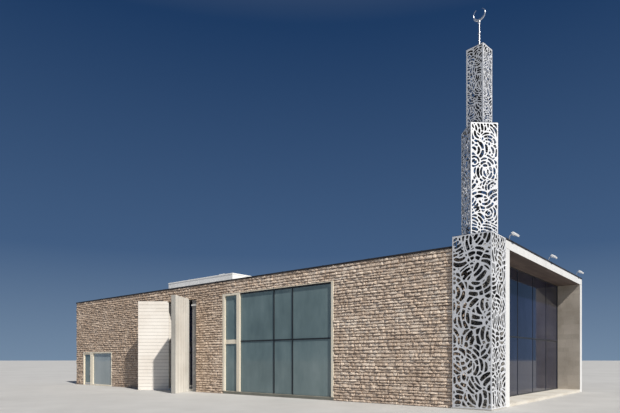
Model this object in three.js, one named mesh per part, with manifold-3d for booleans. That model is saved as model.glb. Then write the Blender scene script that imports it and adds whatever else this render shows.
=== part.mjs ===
// A stone mosque with a glazed hall, a recessed entrance, an end portal and a steel minaret.
// Millimetres. +X runs along the street front toward the minaret, +Y runs into the building
// and +Z is up. The origin is on the ground at the middle of the main block.
import * as THREE from 'three';
import { mergeVertices } from 'three/addons/utils/BufferGeometryUtils.js';
import Module from 'manifold-3d';

const wasm = await Module();
wasm.setup();

// Main block: outer faces, wall thickness and levels
const WEST = -18360;
const EAST = 18360;
const STREET = -8350;
const BACK = 8350;
const WALL = 500;
const WALL_TOP = 7150;
const GROUND_FLOOR = [0, 150];
const UPPER_FLOOR = [3160, 3410];
const ROOF_SLAB = [6750, 7050];
const SEAT_GAP = 0.3;

const INNER_WEST = WEST + WALL;
const INNER_STREET = STREET + WALL;
const INNER_BACK = BACK - WALL;

// Coping on the walls
const COPING_THICKNESS = 50;
const COPING_OVERHANG = 20;

// Window frames, almost level with the wall face, with the glass behind them
const FRAME_SETBACK = 20;
const FRAME_DEPTH = 60;
const GLASS_THICKNESS = 20;
const GLASS_LAP = 40;
const GLASS_TO_FLOOR = 10;

// Glazed shop front at the west end of the street front
const SHOP = [-17120, -12400];
const SHOP_TOP = 2800;
const SHOP_POST = [-15900, -15470];
const SHOP_RAIL = 100;

// Recessed entrance: opening, east jamb and glazed screen
const ENTRANCE = [-4900, -1550];
const ENTRANCE_TOP = 6230;
const JAMB_WEST = -2100;
const JAMB_FRONT = -8250;
const SCREEN = [-6920, -6860];
const SOFFIT_BACK = -6760;
const SOFFIT_THICKNESS = 200;
const SCREEN_BAR = 80;
const ENTRANCE_DOORWAY = [-4500, -2500];
const ENTRANCE_DOOR_TOP = 2650;
const STEP_NOTCH_WEST = -2700;
const STEP_NOTCH_FRONT = -8150;

// Free concrete slabs that stand out on both sides of the entrance like a pair of opened leaves.
// Each is given by the ends of the face that looks into the approach or along the street.
const FREE_SLAB_TOP = 6300;
const FREE_SLAB_THICKNESS = 300;
const WEST_SLAB = { outer: [-6350, -9727], inner: [-4665, STREET] };
const EAST_SLAB = { outer: [-1200, -10250], inner: [-2312, STREET] };

// Tall street window: a narrow column and a wide three-bay window in one frame
const TALL = [1170, 10020];
const TALL_TOP = 6320;
const TALL_HEAD = 6200;
const TALL_SILL = 180;
const COLUMN_GLASS = [1380, 2480];
const WIDE_GLASS = [2780, 9870];
const WIDE_MULLIONS = [5620, 7070];
const MULLION = 60;
const TRANSOM = [3270, 3330];

// East end of the street wall, where the minaret stands in a notch of the block
const STREET_WALL_EAST = 16600;
const NOTCH_BACK = -6600;

// Portal at the east end
const PORTAL_BACK = 16100;
const PORTAL_WALL_NEAR = [NOTCH_BACK, NOTCH_BACK + WALL];
const PORTAL_SOFFIT = 7200;
const PORTAL_TOP = 7580;
const PORTAL_FRAME = [16920, 16980];
const PORTAL_BAYS = 5;
const PORTAL_BAR = 60;
const PORTAL_TRANSOM = [3380, 3440];
const KERB_EAST = 16700;
const FLASHING_TOP = 7650;
const FLASHING_WIDTH = 120;
const FLASHING_OVERHANG = 10;

// Windows of the back wall, each like the narrow street column
const BACK_WINDOWS = [-12000, -4000, 8000];
const BACK_WINDOW_WIDTH = 1640;
const BACK_WINDOW_BOTTOM = 600;
const BACK_BAR = 150;

// Raised white box on the roof with a small vent
const ROOF_BOX = { x: [-9000, -1300], y: [-5350, 200], top: 8350, skin: 200 };
const ROOF_VENT = { x: [-3250, -2750], y: [-4900, -4400], height: 150 };

// Floodlights over the portal, and the lamp beside the entrance
const FLOODLIGHTS = { south: -5800, middle: 750, north: 7300 };
const FLOODLIGHT_ARM = 7950;
const FLOODLIGHT_TILT = 0.6;
const ENTRANCE_LAMP = [5790, 5920];

// Door leaves
const LEAF_THICKNESS = 50;
const LEAF_STILE = 90;
const HINGE_INSET = 25;
const HINGE_GAP = 16;
const MEETING_GAP = 10;
const DOOR_FOOT_GAP = 10;
const THRESHOLD = 25;
const PIN_RADIUS = 10;
const PIN_SIDES = 8;

// Minaret: three square perforated tiers, each turned on the one below
const MINARET = [17540, -7590];
const PAD_TOP = 50;
const PLATE = 12;
const TIERS = [
  { name: 'lower', side: 1744, turn: 0, bottom: PAD_TOP, top: 7600, columns: 2, rows: 7 },
  { name: 'middle', side: 1196, turn: 42.5, bottom: 7600, top: 12440, columns: 2, rows: 5 },
  { name: 'upper', side: 809, turn: 83.1, bottom: 12440, top: 15930, columns: 1, rows: 5 },
];
const SIDES = ['south', 'east', 'north', 'west'];
const PLATE_RIM = 70;
const SLOT_BRIDGE = 60;
const MAST = 160;
const POLE_RADIUS = 42;
const POLE_TOP = 17220;
const CRESCENT = { radius: 285, innerRadius: 240, shift: 50, thickness: 50, bottom: 17210 };

const COLOURS = {
  stone: 0xb9a68c,
  smoothStone: 0xe8dac4,
  concrete: 0xd6ccbc,
  white: 0xf0efea,
  cream: 0xd9c396,
  darkFrame: 0x3a3c40,
  coping: 0x46403e,
  streetGlass: 0x4b6e78,
  portalGlass: 0x22304c,
  steel: 0xc9cbce,
  lamp: 0xf4f4f2,
};

const building = new THREE.Group();

// Adds one named piece with a material of its own
function add(name, geometry, colour, roughness, metalness = 0, parent = building) {
  const material = new THREE.MeshStandardMaterial({ color: colour, roughness, metalness });
  const mesh = new THREE.Mesh(geometry, material);
  mesh.name = name;
  parent.add(mesh);
  return mesh;
}

// Box between two values along each axis
function block(x, y, z) {
  const geometry = new THREE.BoxGeometry(x[1] - x[0], y[1] - y[0], z[1] - z[0]);
  return geometry.translate((x[0] + x[1]) / 2, (y[0] + y[1]) / 2, (z[0] + z[1]) / 2);
}

function points(list) {
  return list.map(([u, v]) => new THREE.Vector2(u, v));
}

// Plan outline raised between two levels
function raisedPlan(outline, z) {
  const shape = new THREE.Shape(points(outline));
  const geometry = new THREE.ExtrudeGeometry(shape, { depth: z[1] - z[0], bevelEnabled: false });
  return geometry.translate(0, 0, z[0]);
}

function rectangle(u, v) {
  return [[u[0], v[0]], [u[1], v[0]], [u[1], v[1]], [u[0], v[1]]];
}

// Upright plate drawn along X and Z, thick along Y
function plainPlate(outline, y) {
  const shape = new THREE.Shape(points(outline));
  const geometry = new THREE.ExtrudeGeometry(shape, { depth: y[1] - y[0], bevelEnabled: false });
  geometry.rotateX(Math.PI / 2);
  return geometry.translate(0, y[1], 0);
}

// Upright plate with holes cut right through it
function uprightPlate(outline, holes, y) {
  const through = [y[0] - 1, y[1] + 1];
  const cutters = holes.map((hole) => toSolid(plainPlate(hole, through)));
  const whole = toSolid(plainPlate(outline, y));
  return toGeometry(cutters.reduce((plate, cutter) => plate.subtract(cutter), whole));
}

function toSolid(geometry) {
  const bare = geometry.clone();
  bare.deleteAttribute('normal');
  bare.deleteAttribute('uv');
  const merged = mergeVertices(bare, 1e-3);
  const mesh = new wasm.Mesh({
    numProp: 3,
    vertProperties: new Float32Array(merged.attributes.position.array),
    triVerts: new Uint32Array(merged.index.array),
  });
  return new wasm.Manifold(mesh);
}

function toGeometry(solid) {
  const mesh = solid.getMesh();
  const geometry = new THREE.BufferGeometry();
  geometry.setAttribute('position', new THREE.BufferAttribute(mesh.vertProperties, 3));
  geometry.setIndex(new THREE.BufferAttribute(mesh.triVerts, 1));
  geometry.computeVertexNormals();
  return geometry;
}

function joined(geometries) {
  const solids = geometries.map(toSolid);
  return toGeometry(solids.reduce((whole, solid) => whole.add(solid)));
}

function addStone(name, geometry) {
  add(name, geometry, COLOURS.stone, 0.95);
}

// Floors and roof. The ground floor runs out under the entrance recess and the portal as a step.
function addFloors() {
  const returnWest = ENTRANCE[0] - WALL;
  const groundPlan = [
    [INNER_WEST, INNER_STREET],
    [returnWest, INNER_STREET],
    [returnWest, SCREEN[1]],
    [ENTRANCE[0], SCREEN[1]],
    [ENTRANCE[0], STREET],
    [STEP_NOTCH_WEST, STREET],
    [STEP_NOTCH_WEST, STEP_NOTCH_FRONT],
    [JAMB_WEST, STEP_NOTCH_FRONT],
    [JAMB_WEST, SCREEN[1]],
    [ENTRANCE[1], SCREEN[1]],
    [ENTRANCE[1], INNER_STREET],
    [PORTAL_BACK, INNER_STREET],
    [PORTAL_BACK, PORTAL_WALL_NEAR[1]],
    [EAST, PORTAL_WALL_NEAR[1]],
    [EAST, INNER_BACK],
    [INNER_WEST, INNER_BACK],
  ];
  add('ground_floor_slab', raisedPlan(groundPlan, GROUND_FLOOR), COLOURS.white, 0.8);

  const floorEast = (COLUMN_GLASS[1] + WIDE_GLASS[0]) / 2;
  const glassBack = STREET + FRAME_SETBACK + FRAME_DEPTH + GLASS_THICKNESS;
  const screenBack = SCREEN[1] + GLASS_THICKNESS + GLASS_TO_FLOOR;
  const upperPlan = [
    [INNER_WEST, INNER_STREET],
    [returnWest, INNER_STREET],
    [returnWest, SCREEN[1]],
    [ENTRANCE[0], SCREEN[1]],
    [ENTRANCE[0], screenBack],
    [ENTRANCE[1], screenBack],
    [ENTRANCE[1], INNER_STREET],
    [TALL[0], INNER_STREET],
    [TALL[0], glassBack + GLASS_TO_FLOOR],
    [floorEast, glassBack + GLASS_TO_FLOOR],
    [floorEast, INNER_BACK],
    [INNER_WEST, INNER_BACK],
  ];
  add('upper_floor_slab', raisedPlan(upperPlan, UPPER_FLOOR), COLOURS.concrete, 0.85);

  const roofPlan = [
    [INNER_WEST, INNER_STREET],
    [PORTAL_BACK, INNER_STREET],
    [PORTAL_BACK, PORTAL_WALL_NEAR[1]],
    [KERB_EAST, PORTAL_WALL_NEAR[1]],
    [KERB_EAST, INNER_BACK],
    [INNER_WEST, INNER_BACK],
  ];
  const kerb = block(
    [PORTAL_BACK, KERB_EAST],
    [PORTAL_WALL_NEAR[1], INNER_BACK],
    [ROOF_SLAB[0], PORTAL_SOFFIT],
  );
  const roof = joined([raisedPlan(roofPlan, ROOF_SLAB), kerb]);
  add('roof_slab', roof, COLOURS.concrete, 0.9);
}

// Stone walls of the street front, from west to east
function addStreetWalls() {
  const thick = [STREET, INNER_STREET];
  const height = [0, WALL_TOP];
  addStone('street_pier_west', block([WEST, SHOP[0]], thick, height));
  addStone('wall_over_shopfront', block(SHOP, thick, [SHOP_TOP, WALL_TOP]));
  addStone('street_wall_west', block([SHOP[1], ENTRANCE[0]], thick, height));
  addStone('street_pier_mid', block([ENTRANCE[1], TALL[0]], thick, height));
  addStone('wall_over_window', block(TALL, thick, [TALL_TOP, WALL_TOP]));
  const corner = [
    [TALL[1], STREET],
    [STREET_WALL_EAST, STREET],
    [STREET_WALL_EAST, NOTCH_BACK],
    [PORTAL_BACK, NOTCH_BACK],
    [PORTAL_BACK, INNER_STREET],
    [TALL[1], INNER_STREET],
  ];
  addStone('street_wall_east', raisedPlan(corner, height));
}

// Plan of a free slab. It is thick toward the west, away from its given face, and its inner end is
// cut off along the street front where it would run into the wall.
function freeSlabPlan({ outer, inner }) {
  const along = new THREE.Vector2(inner[0] - outer[0], inner[1] - outer[1]);
  const across = new THREE.Vector2(-along.y, along.x).setLength(FREE_SLAB_THICKNESS);
  const farOuter = [outer[0] + across.x, outer[1] + across.y];
  const farInner = [inner[0] + across.x, inner[1] + across.y];
  if (farInner[1] > STREET) {
    const share = (STREET - farOuter[1]) / along.y;
    farInner[0] = farOuter[0] + share * along.x;
    farInner[1] = STREET;
  }
  return [outer, inner, farInner, farOuter];
}

// Entrance recess: lintel with its soffit, west return, east jamb and the two free slabs
function addEntranceWalls() {
  const lintel = block(ENTRANCE, [STREET, INNER_STREET], [ENTRANCE_TOP, WALL_TOP]);
  const soffitTop = ENTRANCE_TOP + SOFFIT_THICKNESS;
  const soffit = block(ENTRANCE, [INNER_STREET, SOFFIT_BACK], [ENTRANCE_TOP, soffitTop]);
  addStone('entrance_lintel', joined([lintel, soffit]));

  const returnWall = block(
    [ENTRANCE[0] - WALL, ENTRANCE[0]],
    [INNER_STREET, SCREEN[1]],
    [0, ROOF_SLAB[0]],
  );
  add('entrance_return', returnWall, COLOURS.smoothStone, 0.85);
  const jamb = block([JAMB_WEST, ENTRANCE[1]], [JAMB_FRONT, SCREEN[1]], [0, ENTRANCE_TOP]);
  add('entrance_jamb', jamb, COLOURS.concrete, 0.8);

  const rise = [0, FREE_SLAB_TOP];
  add('entrance_slab_west', raisedPlan(freeSlabPlan(WEST_SLAB), rise), COLOURS.concrete, 0.8);
  add('entrance_slab_east', raisedPlan(freeSlabPlan(EAST_SLAB), rise), COLOURS.concrete, 0.8);
}

// Plain walls at the back and the west end
function addPlainWalls() {
  const half = BACK_WINDOW_WIDTH / 2;
  const openings = BACK_WINDOWS.map((x) =>
    rectangle([x - half, x + half], [BACK_WINDOW_BOTTOM, TALL_TOP]));
  const face = rectangle([WEST, PORTAL_BACK], [0, WALL_TOP]);
  addStone('back_wall', uprightPlate(face, openings, [INNER_BACK, BACK]));
  addStone('west_wall', block([WEST, INNER_WEST], [INNER_STREET, INNER_BACK], [0, WALL_TOP]));
}

// Portal: two side walls under a thick slab with a dark flashing on its edge
function addPortalWalls() {
  const deep = [PORTAL_BACK, EAST];
  const height = [0, PORTAL_SOFFIT];
  add('portal_wall_south', block(deep, PORTAL_WALL_NEAR, height), COLOURS.smoothStone, 0.85);
  add('portal_wall_north', block(deep, [INNER_BACK, BACK], height), COLOURS.smoothStone, 0.85);
  const slab = block(deep, [NOTCH_BACK, BACK], [PORTAL_SOFFIT, PORTAL_TOP]);
  add('portal_roof_slab', slab, COLOURS.white, 0.8);

  const out = FLASHING_OVERHANG;
  const width = FLASHING_WIDTH;
  const flashing = [
    [PORTAL_BACK, NOTCH_BACK - out],
    [EAST + out, NOTCH_BACK - out],
    [EAST + out, BACK + out],
    [PORTAL_BACK, BACK + out],
    [PORTAL_BACK, BACK + out - width],
    [EAST + out - width, BACK + out - width],
    [EAST + out - width, NOTCH_BACK - out + width],
    [PORTAL_BACK, NOTCH_BACK - out + width],
  ];
  const rise = [PORTAL_TOP, FLASHING_TOP];
  add('portal_flashing', raisedPlan(flashing, rise), COLOURS.coping, 0.5, 0.6);
}

// Metal coping on the street, west and back walls, and on the wall of the notch
function addCoping() {
  const out = COPING_OVERHANG;
  const plan = [
    [STREET_WALL_EAST + out, NOTCH_BACK - SEAT_GAP],
    [STREET_WALL_EAST + out, STREET - out],
    [WEST - out, STREET - out],
    [WEST - out, BACK + out],
    [PORTAL_BACK - SEAT_GAP, BACK + out],
    [PORTAL_BACK - SEAT_GAP, INNER_BACK - out],
    [INNER_WEST + out, INNER_BACK - out],
    [INNER_WEST + out, INNER_STREET + out],
    [PORTAL_BACK - out, INNER_STREET + out],
    [PORTAL_BACK - out, NOTCH_BACK - SEAT_GAP],
  ];
  const rise = [WALL_TOP, WALL_TOP + COPING_THICKNESS];
  add('parapet_coping', raisedPlan(plan, rise), COLOURS.coping, 0.5, 0.6);
}

function addGlass(name, geometry, colour) {
  add(name, geometry, colour, 0.1, 0.1);
}

// Tall street window
function addStreetWindow() {
  const front = STREET + FRAME_SETBACK;
  const back = front + FRAME_DEPTH;
  const half = MULLION / 2;
  const wideEdges = [
    WIDE_GLASS[0],
    ...WIDE_MULLIONS.flatMap((x) => [x - half, x + half]),
    WIDE_GLASS[1],
  ];
  const panes = [
    rectangle(COLUMN_GLASS, [TALL_SILL, UPPER_FLOOR[0]]),
    rectangle(COLUMN_GLASS, [UPPER_FLOOR[1], TALL_HEAD]),
  ];
  for (let bay = 0; bay < wideEdges.length; bay += 2) {
    const bayWidth = [wideEdges[bay], wideEdges[bay + 1]];
    panes.push(rectangle(bayWidth, [TALL_SILL, TRANSOM[0]]));
    panes.push(rectangle(bayWidth, [TRANSOM[1], TALL_HEAD]));
  }
  const outline = rectangle(TALL, [0, TALL_TOP]);
  const frame = uprightPlate(outline, panes, [front, back]);
  add('street_window_frame', frame, COLOURS.cream, 0.5, 0.3);
  const glass = block(
    [COLUMN_GLASS[0] - GLASS_LAP, WIDE_GLASS[1] + GLASS_LAP],
    [back, back + GLASS_THICKNESS],
    [TALL_SILL - GLASS_LAP, TALL_HEAD + GLASS_LAP],
  );
  addGlass('street_window_glass', glass, COLOURS.streetGlass);
}

// Tall glazed wall at the back of the portal, drawn along Y and turned to face east
function addPortalWindow() {
  const left = PORTAL_WALL_NEAR[1];
  const right = INNER_BACK;
  const bottom = GROUND_FLOOR[1];
  const bay = (right - left) / PORTAL_BAYS;
  const half = PORTAL_BAR / 2;
  const panes = [];
  for (let index = 0; index < PORTAL_BAYS; index += 1) {
    const start = left + index * bay + half;
    const across = [start, start + bay - PORTAL_BAR];
    panes.push(rectangle(across, [bottom + PORTAL_BAR, PORTAL_TRANSOM[0]]));
    panes.push(rectangle(across, [PORTAL_TRANSOM[1], PORTAL_SOFFIT - PORTAL_BAR]));
  }
  const outline = rectangle([left, right], [bottom, PORTAL_SOFFIT]);
  const frame = uprightPlate(outline, panes, [-PORTAL_FRAME[1], -PORTAL_FRAME[0]]);
  frame.rotateZ(Math.PI / 2);
  add('portal_window_frame', frame, COLOURS.darkFrame, 0.5, 0.5);
  const glass = block(
    [PORTAL_FRAME[0] - GLASS_THICKNESS, PORTAL_FRAME[0] - SEAT_GAP],
    [left + SEAT_GAP, right - SEAT_GAP],
    [bottom + SEAT_GAP, PORTAL_SOFFIT - SEAT_GAP],
  );
  addGlass('portal_window_glass', glass, COLOURS.portalGlass);
}

// Windows of the back wall: a frame round two panes, with the panes held inside it
function addBackWindows() {
  const outer = [INNER_BACK + WALL - FRAME_SETBACK - FRAME_DEPTH, BACK - FRAME_SETBACK];
  const middle = (outer[0] + outer[1]) / 2;
  const sheet = [middle - GLASS_THICKNESS / 2, middle + GLASS_THICKNESS / 2];
  const half = BACK_WINDOW_WIDTH / 2;
  const names = ['west', 'mid', 'east'];
  BACK_WINDOWS.forEach((x, index) => {
    const across = [x - half, x + half];
    const inner = [across[0] + BACK_BAR, across[1] - BACK_BAR];
    const bottom = BACK_WINDOW_BOTTOM + BACK_BAR;
    const panes = [
      rectangle(inner, [bottom, UPPER_FLOOR[0]]),
      rectangle(inner, [UPPER_FLOOR[1], TALL_HEAD]),
    ];
    const outline = rectangle(across, [BACK_WINDOW_BOTTOM, TALL_TOP]);
    const frame = uprightPlate(outline, panes, outer);
    const lap = [inner[0] - GLASS_LAP, inner[1] + GLASS_LAP];
    const glass = block(lap, sheet, [bottom - GLASS_LAP, TALL_HEAD + GLASS_LAP]);
    add(`back_window_${names[index]}`, joined([frame, glass]), COLOURS.cream, 0.5, 0.3);
  });
}

// One glazed leaf with a pull bar on its street side and a pivot pin at its head and foot.
// The leaf starts at the hinge edge and runs along X toward the free edge.
function doorLeaf(hingeEdge, freeEdge, front, z) {
  const back = front + LEAF_THICKNESS;
  const x = [Math.min(hingeEdge, freeEdge), Math.max(hingeEdge, freeEdge)];
  const toward = Math.sign(freeEdge - hingeEdge);
  const hole = rectangle([x[0] + LEAF_STILE, x[1] - LEAF_STILE], [z[0] + 160, z[1] - LEAF_STILE]);
  const frame = uprightPlate(rectangle(x, z), [hole], [front, back]);
  const middle = (front + back) / 2;
  const pane = block(
    [x[0] + LEAF_STILE / 2, x[1] - LEAF_STILE / 2],
    [middle - GLASS_THICKNESS / 2, middle + GLASS_THICKNESS / 2],
    [z[0] + 100, z[1] - LEAF_STILE / 2],
  );
  const barX = freeEdge - toward * LEAF_STILE / 2;
  const barWidth = [barX - 15, barX + 15];
  const bar = block(barWidth, [front - 75, front - 45], [z[0] + 800, z[0] + 1500]);
  const lowerPost = block(barWidth, [front - 60, front + 5], [z[0] + 850, z[0] + 880]);
  const upperPost = block(barWidth, [front - 60, front + 5], [z[0] + 1420, z[0] + 1450]);
  const pinLength = z[1] - z[0] + 2 * (DOOR_FOOT_GAP - SEAT_GAP);
  const pin = new THREE.CylinderGeometry(PIN_RADIUS, PIN_RADIUS, pinLength, PIN_SIDES);
  pin.rotateX(Math.PI / 2);
  pin.translate(hingeEdge + toward * HINGE_INSET, middle, (z[0] + z[1]) / 2);
  return joined([frame, pane, bar, lowerPost, upperPost, pin]);
}

// Glazed screen of the entrance with its pair of doors
function addEntranceScreen() {
  const bottom = GROUND_FLOOR[1];
  const [doorWest, doorEast] = ENTRANCE_DOORWAY;
  const bar = SCREEN_BAR;
  const bays = [
    [ENTRANCE[0] + bar, doorWest - bar],
    [doorWest, doorEast],
    [doorEast + bar, JAMB_WEST - bar],
  ];
  const panes = bays.map((bay) => rectangle(bay, [UPPER_FLOOR[1], ENTRANCE_TOP - bar]));
  panes.push(rectangle(bays[0], [bottom + bar, UPPER_FLOOR[0]]));
  panes.push(rectangle(bays[2], [bottom + bar, UPPER_FLOOR[0]]));
  panes.push(rectangle(bays[1], [ENTRANCE_DOOR_TOP + bar, UPPER_FLOOR[0]]));
  panes.push(rectangle(bays[1], [bottom + THRESHOLD, ENTRANCE_DOOR_TOP]));
  const outline = rectangle([ENTRANCE[0], JAMB_WEST], [bottom, ENTRANCE_TOP]);
  add('entrance_frame', uprightPlate(outline, panes, SCREEN), COLOURS.darkFrame, 0.5, 0.5);

  const lap = GLASS_LAP;
  const sheetTop = ENTRANCE_TOP - bar + lap;
  const sheetFoot = bottom + bar - lap;
  const sheet = [
    [bays[0][0] - lap, sheetFoot],
    [bays[0][1] + lap, sheetFoot],
    [bays[0][1] + lap, ENTRANCE_DOOR_TOP + lap],
    [bays[2][0] - lap, ENTRANCE_DOOR_TOP + lap],
    [bays[2][0] - lap, sheetFoot],
    [bays[2][1] + lap, sheetFoot],
    [bays[2][1] + lap, sheetTop],
    [bays[0][0] - lap, sheetTop],
  ];
  const glass = uprightPlate(sheet, [], [SCREEN[1], SCREEN[1] + GLASS_THICKNESS]);
  addGlass('entrance_glass', glass, COLOURS.portalGlass);

  const leafWidth = (doorEast - doorWest - MEETING_GAP) / 2 - HINGE_GAP;
  const z = [bottom + THRESHOLD + DOOR_FOOT_GAP, ENTRANCE_DOOR_TOP - DOOR_FOOT_GAP];
  const front = SCREEN[0] + 5;
  const westHinge = doorWest + HINGE_GAP;
  const eastHinge = doorEast - HINGE_GAP;
  const west = doorLeaf(westHinge, westHinge + leafWidth, front, z);
  const east = doorLeaf(eastHinge, eastHinge - leafWidth, front, z);
  add('entrance_door_west', west, COLOURS.darkFrame, 0.4, 0.5);
  add('entrance_door_east', east, COLOURS.darkFrame, 0.4, 0.5);
}

// Shop front with a single door
function addShopFront() {
  const front = STREET + FRAME_SETBACK;
  const back = front + FRAME_DEPTH;
  const doorway = [SHOP[0] + SHOP_RAIL, SHOP_POST[0]];
  const pane = [SHOP_POST[1], SHOP[1] - SHOP_RAIL];
  const head = SHOP_TOP - SHOP_RAIL;
  const holes = [
    rectangle(doorway, [THRESHOLD, head]),
    rectangle(pane, [SHOP_RAIL, head]),
  ];
  const frame = uprightPlate(rectangle(SHOP, [0, SHOP_TOP]), holes, [front, back]);
  add('shopfront_frame', frame, COLOURS.cream, 0.5, 0.3);
  const glass = block(
    [pane[0] - GLASS_LAP, pane[1] + GLASS_LAP],
    [back, back + GLASS_THICKNESS],
    [SHOP_RAIL - GLASS_LAP, head + GLASS_LAP],
  );
  addGlass('shopfront_glass', glass, COLOURS.streetGlass);

  const z = [THRESHOLD + DOOR_FOOT_GAP, head - DOOR_FOOT_GAP];
  const hinge = doorway[0] + HINGE_GAP;
  const leaf = doorLeaf(hinge, doorway[1] - MEETING_GAP, front + 5, z);
  add('shopfront_door', leaf, COLOURS.cream, 0.4, 0.3);
}

// White box on the roof, a shell open to the slab below, with a small vent on its lid
function addRoofBox() {
  const { x, y, top, skin } = ROOF_BOX;
  const bottom = ROOF_SLAB[1];
  const inside = block(
    [x[0] + skin, x[1] - skin],
    [y[0] + skin, y[1] - skin],
    [bottom - skin, top - skin],
  );
  const shell = toSolid(block(x, y, [bottom, top])).subtract(toSolid(inside));
  const vent = block(ROOF_VENT.x, ROOF_VENT.y, [top - skin / 2, top + ROOF_VENT.height]);
  add('roof_box', toGeometry(shell.add(toSolid(vent))), COLOURS.white, 0.7);
}

// Floodlight on a cranked post, and the lamp beside the entrance
function addLamps() {
  const footTop = FLASHING_TOP + 10;
  const arm = [FLOODLIGHT_ARM - 40, FLOODLIGHT_ARM];
  const floodlight = () => joined([
    block([-90, 90], [-60, 60], [FLASHING_TOP, footTop]),
    block([-60, -20], [-20, 20], [FLASHING_TOP, arm[1]]),
    block([-60, 150], [-20, 20], arm),
    block([0, 340], [-130, 130], [0, 110]).rotateY(FLOODLIGHT_TILT).translate(60, 0, arm[1] + 30),
  ]);
  const rear = EAST + FLASHING_OVERHANG - 60;
  for (const [side, y] of Object.entries(FLOODLIGHTS)) {
    const light = add(`portal_floodlight_${side}`, floodlight(), COLOURS.lamp, 0.4, 0.2);
    light.position.set(rear, y, 0);
  }
  const across = [JAMB_WEST + 20, ENTRANCE[1] - 20];
  const lamp = block(across, [JAMB_FRONT - 80, JAMB_FRONT], ENTRANCE_LAMP);
  add('entrance_lamp', lamp, COLOURS.lamp, 0.4, 0.1);
}

// Leaf-shaped slot with a bowed spine: x = bow * (1 - s * s), half width = width / 2 * sqrt(1 - s * s)
function curvedSlot(cx, cz, width, height, bow) {
  const stations = [-1, -0.72, 0, 0.72, 1];
  const edge = (s, sign) => [
    cx + bow * (1 - s * s) + sign * width / 2 * Math.sqrt(1 - s * s),
    cz + s * height / 2,
  ];
  const right = stations.map((s) => edge(s, 1));
  const left = stations.slice(1, -1).reverse().map((s) => edge(s, -1));
  return [...right, ...left];
}

// Perforated plate of a tier, upright along X, with slots in staggered columns
function latticePlate(width, height, side, columns, rows) {
  const cellWidth = (width - 2 * PLATE_RIM) / columns;
  const cellHeight = (height - 2 * PLATE_RIM) / rows;
  const holes = [];
  for (let column = 0; column < columns; column += 1) {
    for (let row = 0; row < rows; row += 1) {
      const cx = -width / 2 + PLATE_RIM + (column + 0.5) * cellWidth;
      const cz = PLATE_RIM + (row + 0.5) * cellHeight;
      const bow = ((row + column) % 2 ? 1 : -1) * cellWidth * 0.12;
      const slotWidth = (cellWidth - SLOT_BRIDGE) * 0.72;
      holes.push(curvedSlot(cx - bow / 2, cz, slotWidth, cellHeight - SLOT_BRIDGE, bow));
    }
  }
  const outline = rectangle([-width / 2, width / 2], [0, height]);
  return uprightPlate(outline, holes, [-side / 2, -side / 2 + PLATE]);
}

// Minaret: pad, mast with a deck over each tier, four plates a tier, and the finial
function addMinaret() {
  const [mx, my] = MINARET;
  const reach = TIERS[0].side / 2;
  const pad = block([STREET_WALL_EAST, mx + reach], [my - reach, NOTCH_BACK], [0, PAD_TOP]);
  add('minaret_pad', pad, COLOURS.concrete, 0.9);

  const halfMast = MAST / 2;
  const mastHeight = [PAD_TOP + SEAT_GAP, TIERS[2].top];
  const core = [block([-halfMast, halfMast], [-halfMast, halfMast], mastHeight)];
  for (const tier of TIERS) {
    const half = tier.side / 2;
    const deck = block([-half, half], [-half, half], [tier.top - PLATE, tier.top]);
    core.push(deck.rotateZ(THREE.MathUtils.degToRad(tier.turn)));
  }
  const coreMesh = add('minaret_core', joined(core), COLOURS.steel, 0.35, 0.9);
  coreMesh.position.set(mx, my, 0);

  for (const tier of TIERS) {
    const group = new THREE.Group();
    group.position.set(mx, my, tier.bottom + SEAT_GAP);
    group.rotation.z = THREE.MathUtils.degToRad(tier.turn);
    building.add(group);
    const height = tier.top - PLATE - tier.bottom - 2 * SEAT_GAP;
    SIDES.forEach((side, index) => {
      const narrowing = index % 2 ? 2 * (PLATE + SEAT_GAP) : 0;
      const width = tier.side - narrowing;
      const plate = latticePlate(width, height, tier.side, tier.columns, tier.rows);
      const name = `minaret_${tier.name}_${side}`;
      const mesh = add(name, plate, COLOURS.steel, 0.35, 0.9, group);
      mesh.rotation.z = index * Math.PI / 2;
    });
  }

  const poleBottom = TIERS[2].top + SEAT_GAP;
  const poleHeight = POLE_TOP - poleBottom;
  const pole = new THREE.CylinderGeometry(POLE_RADIUS, POLE_RADIUS, poleHeight, 12);
  pole.rotateX(Math.PI / 2);
  pole.translate(0, 0, poleBottom + poleHeight / 2);
  const finial = add('minaret_finial', joined([pole, crescent()]), COLOURS.steel, 0.3, 0.9);
  finial.position.set(mx, my, 0);
}

// Crescent with its horns up: the space between a circle and a smaller circle shifted up
function crescent() {
  const { radius, innerRadius, shift, thickness, bottom } = CRESCENT;
  const tipHeight = (radius ** 2 - innerRadius ** 2 + shift ** 2) / (2 * shift);
  const tipX = Math.sqrt(radius ** 2 - tipHeight ** 2);
  const outerStart = Math.atan2(tipHeight, tipX);
  const innerStart = Math.atan2(tipHeight - shift, tipX);
  const steps = 20;
  const outline = [];
  for (let step = 0; step <= steps; step += 1) {
    const angle = outerStart - step / steps * (Math.PI + 2 * outerStart);
    outline.push([radius * Math.cos(angle), radius * Math.sin(angle)]);
  }
  for (let step = 1; step < steps; step += 1) {
    const angle = Math.PI - innerStart + step / steps * (Math.PI + 2 * innerStart);
    outline.push([innerRadius * Math.cos(angle), shift + innerRadius * Math.sin(angle)]);
  }
  const plate = uprightPlate(outline, [], [-thickness / 2, thickness / 2]);
  return plate.translate(0, 0, bottom + radius);
}

addFloors();
addStreetWalls();
addEntranceWalls();
addPlainWalls();
addPortalWalls();
addCoping();
addStreetWindow();
addPortalWindow();
addBackWindows();
addEntranceScreen();
addShopFront();
addRoofBox();
addLamps();
addMinaret();

export default building;
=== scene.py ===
import math

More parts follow.
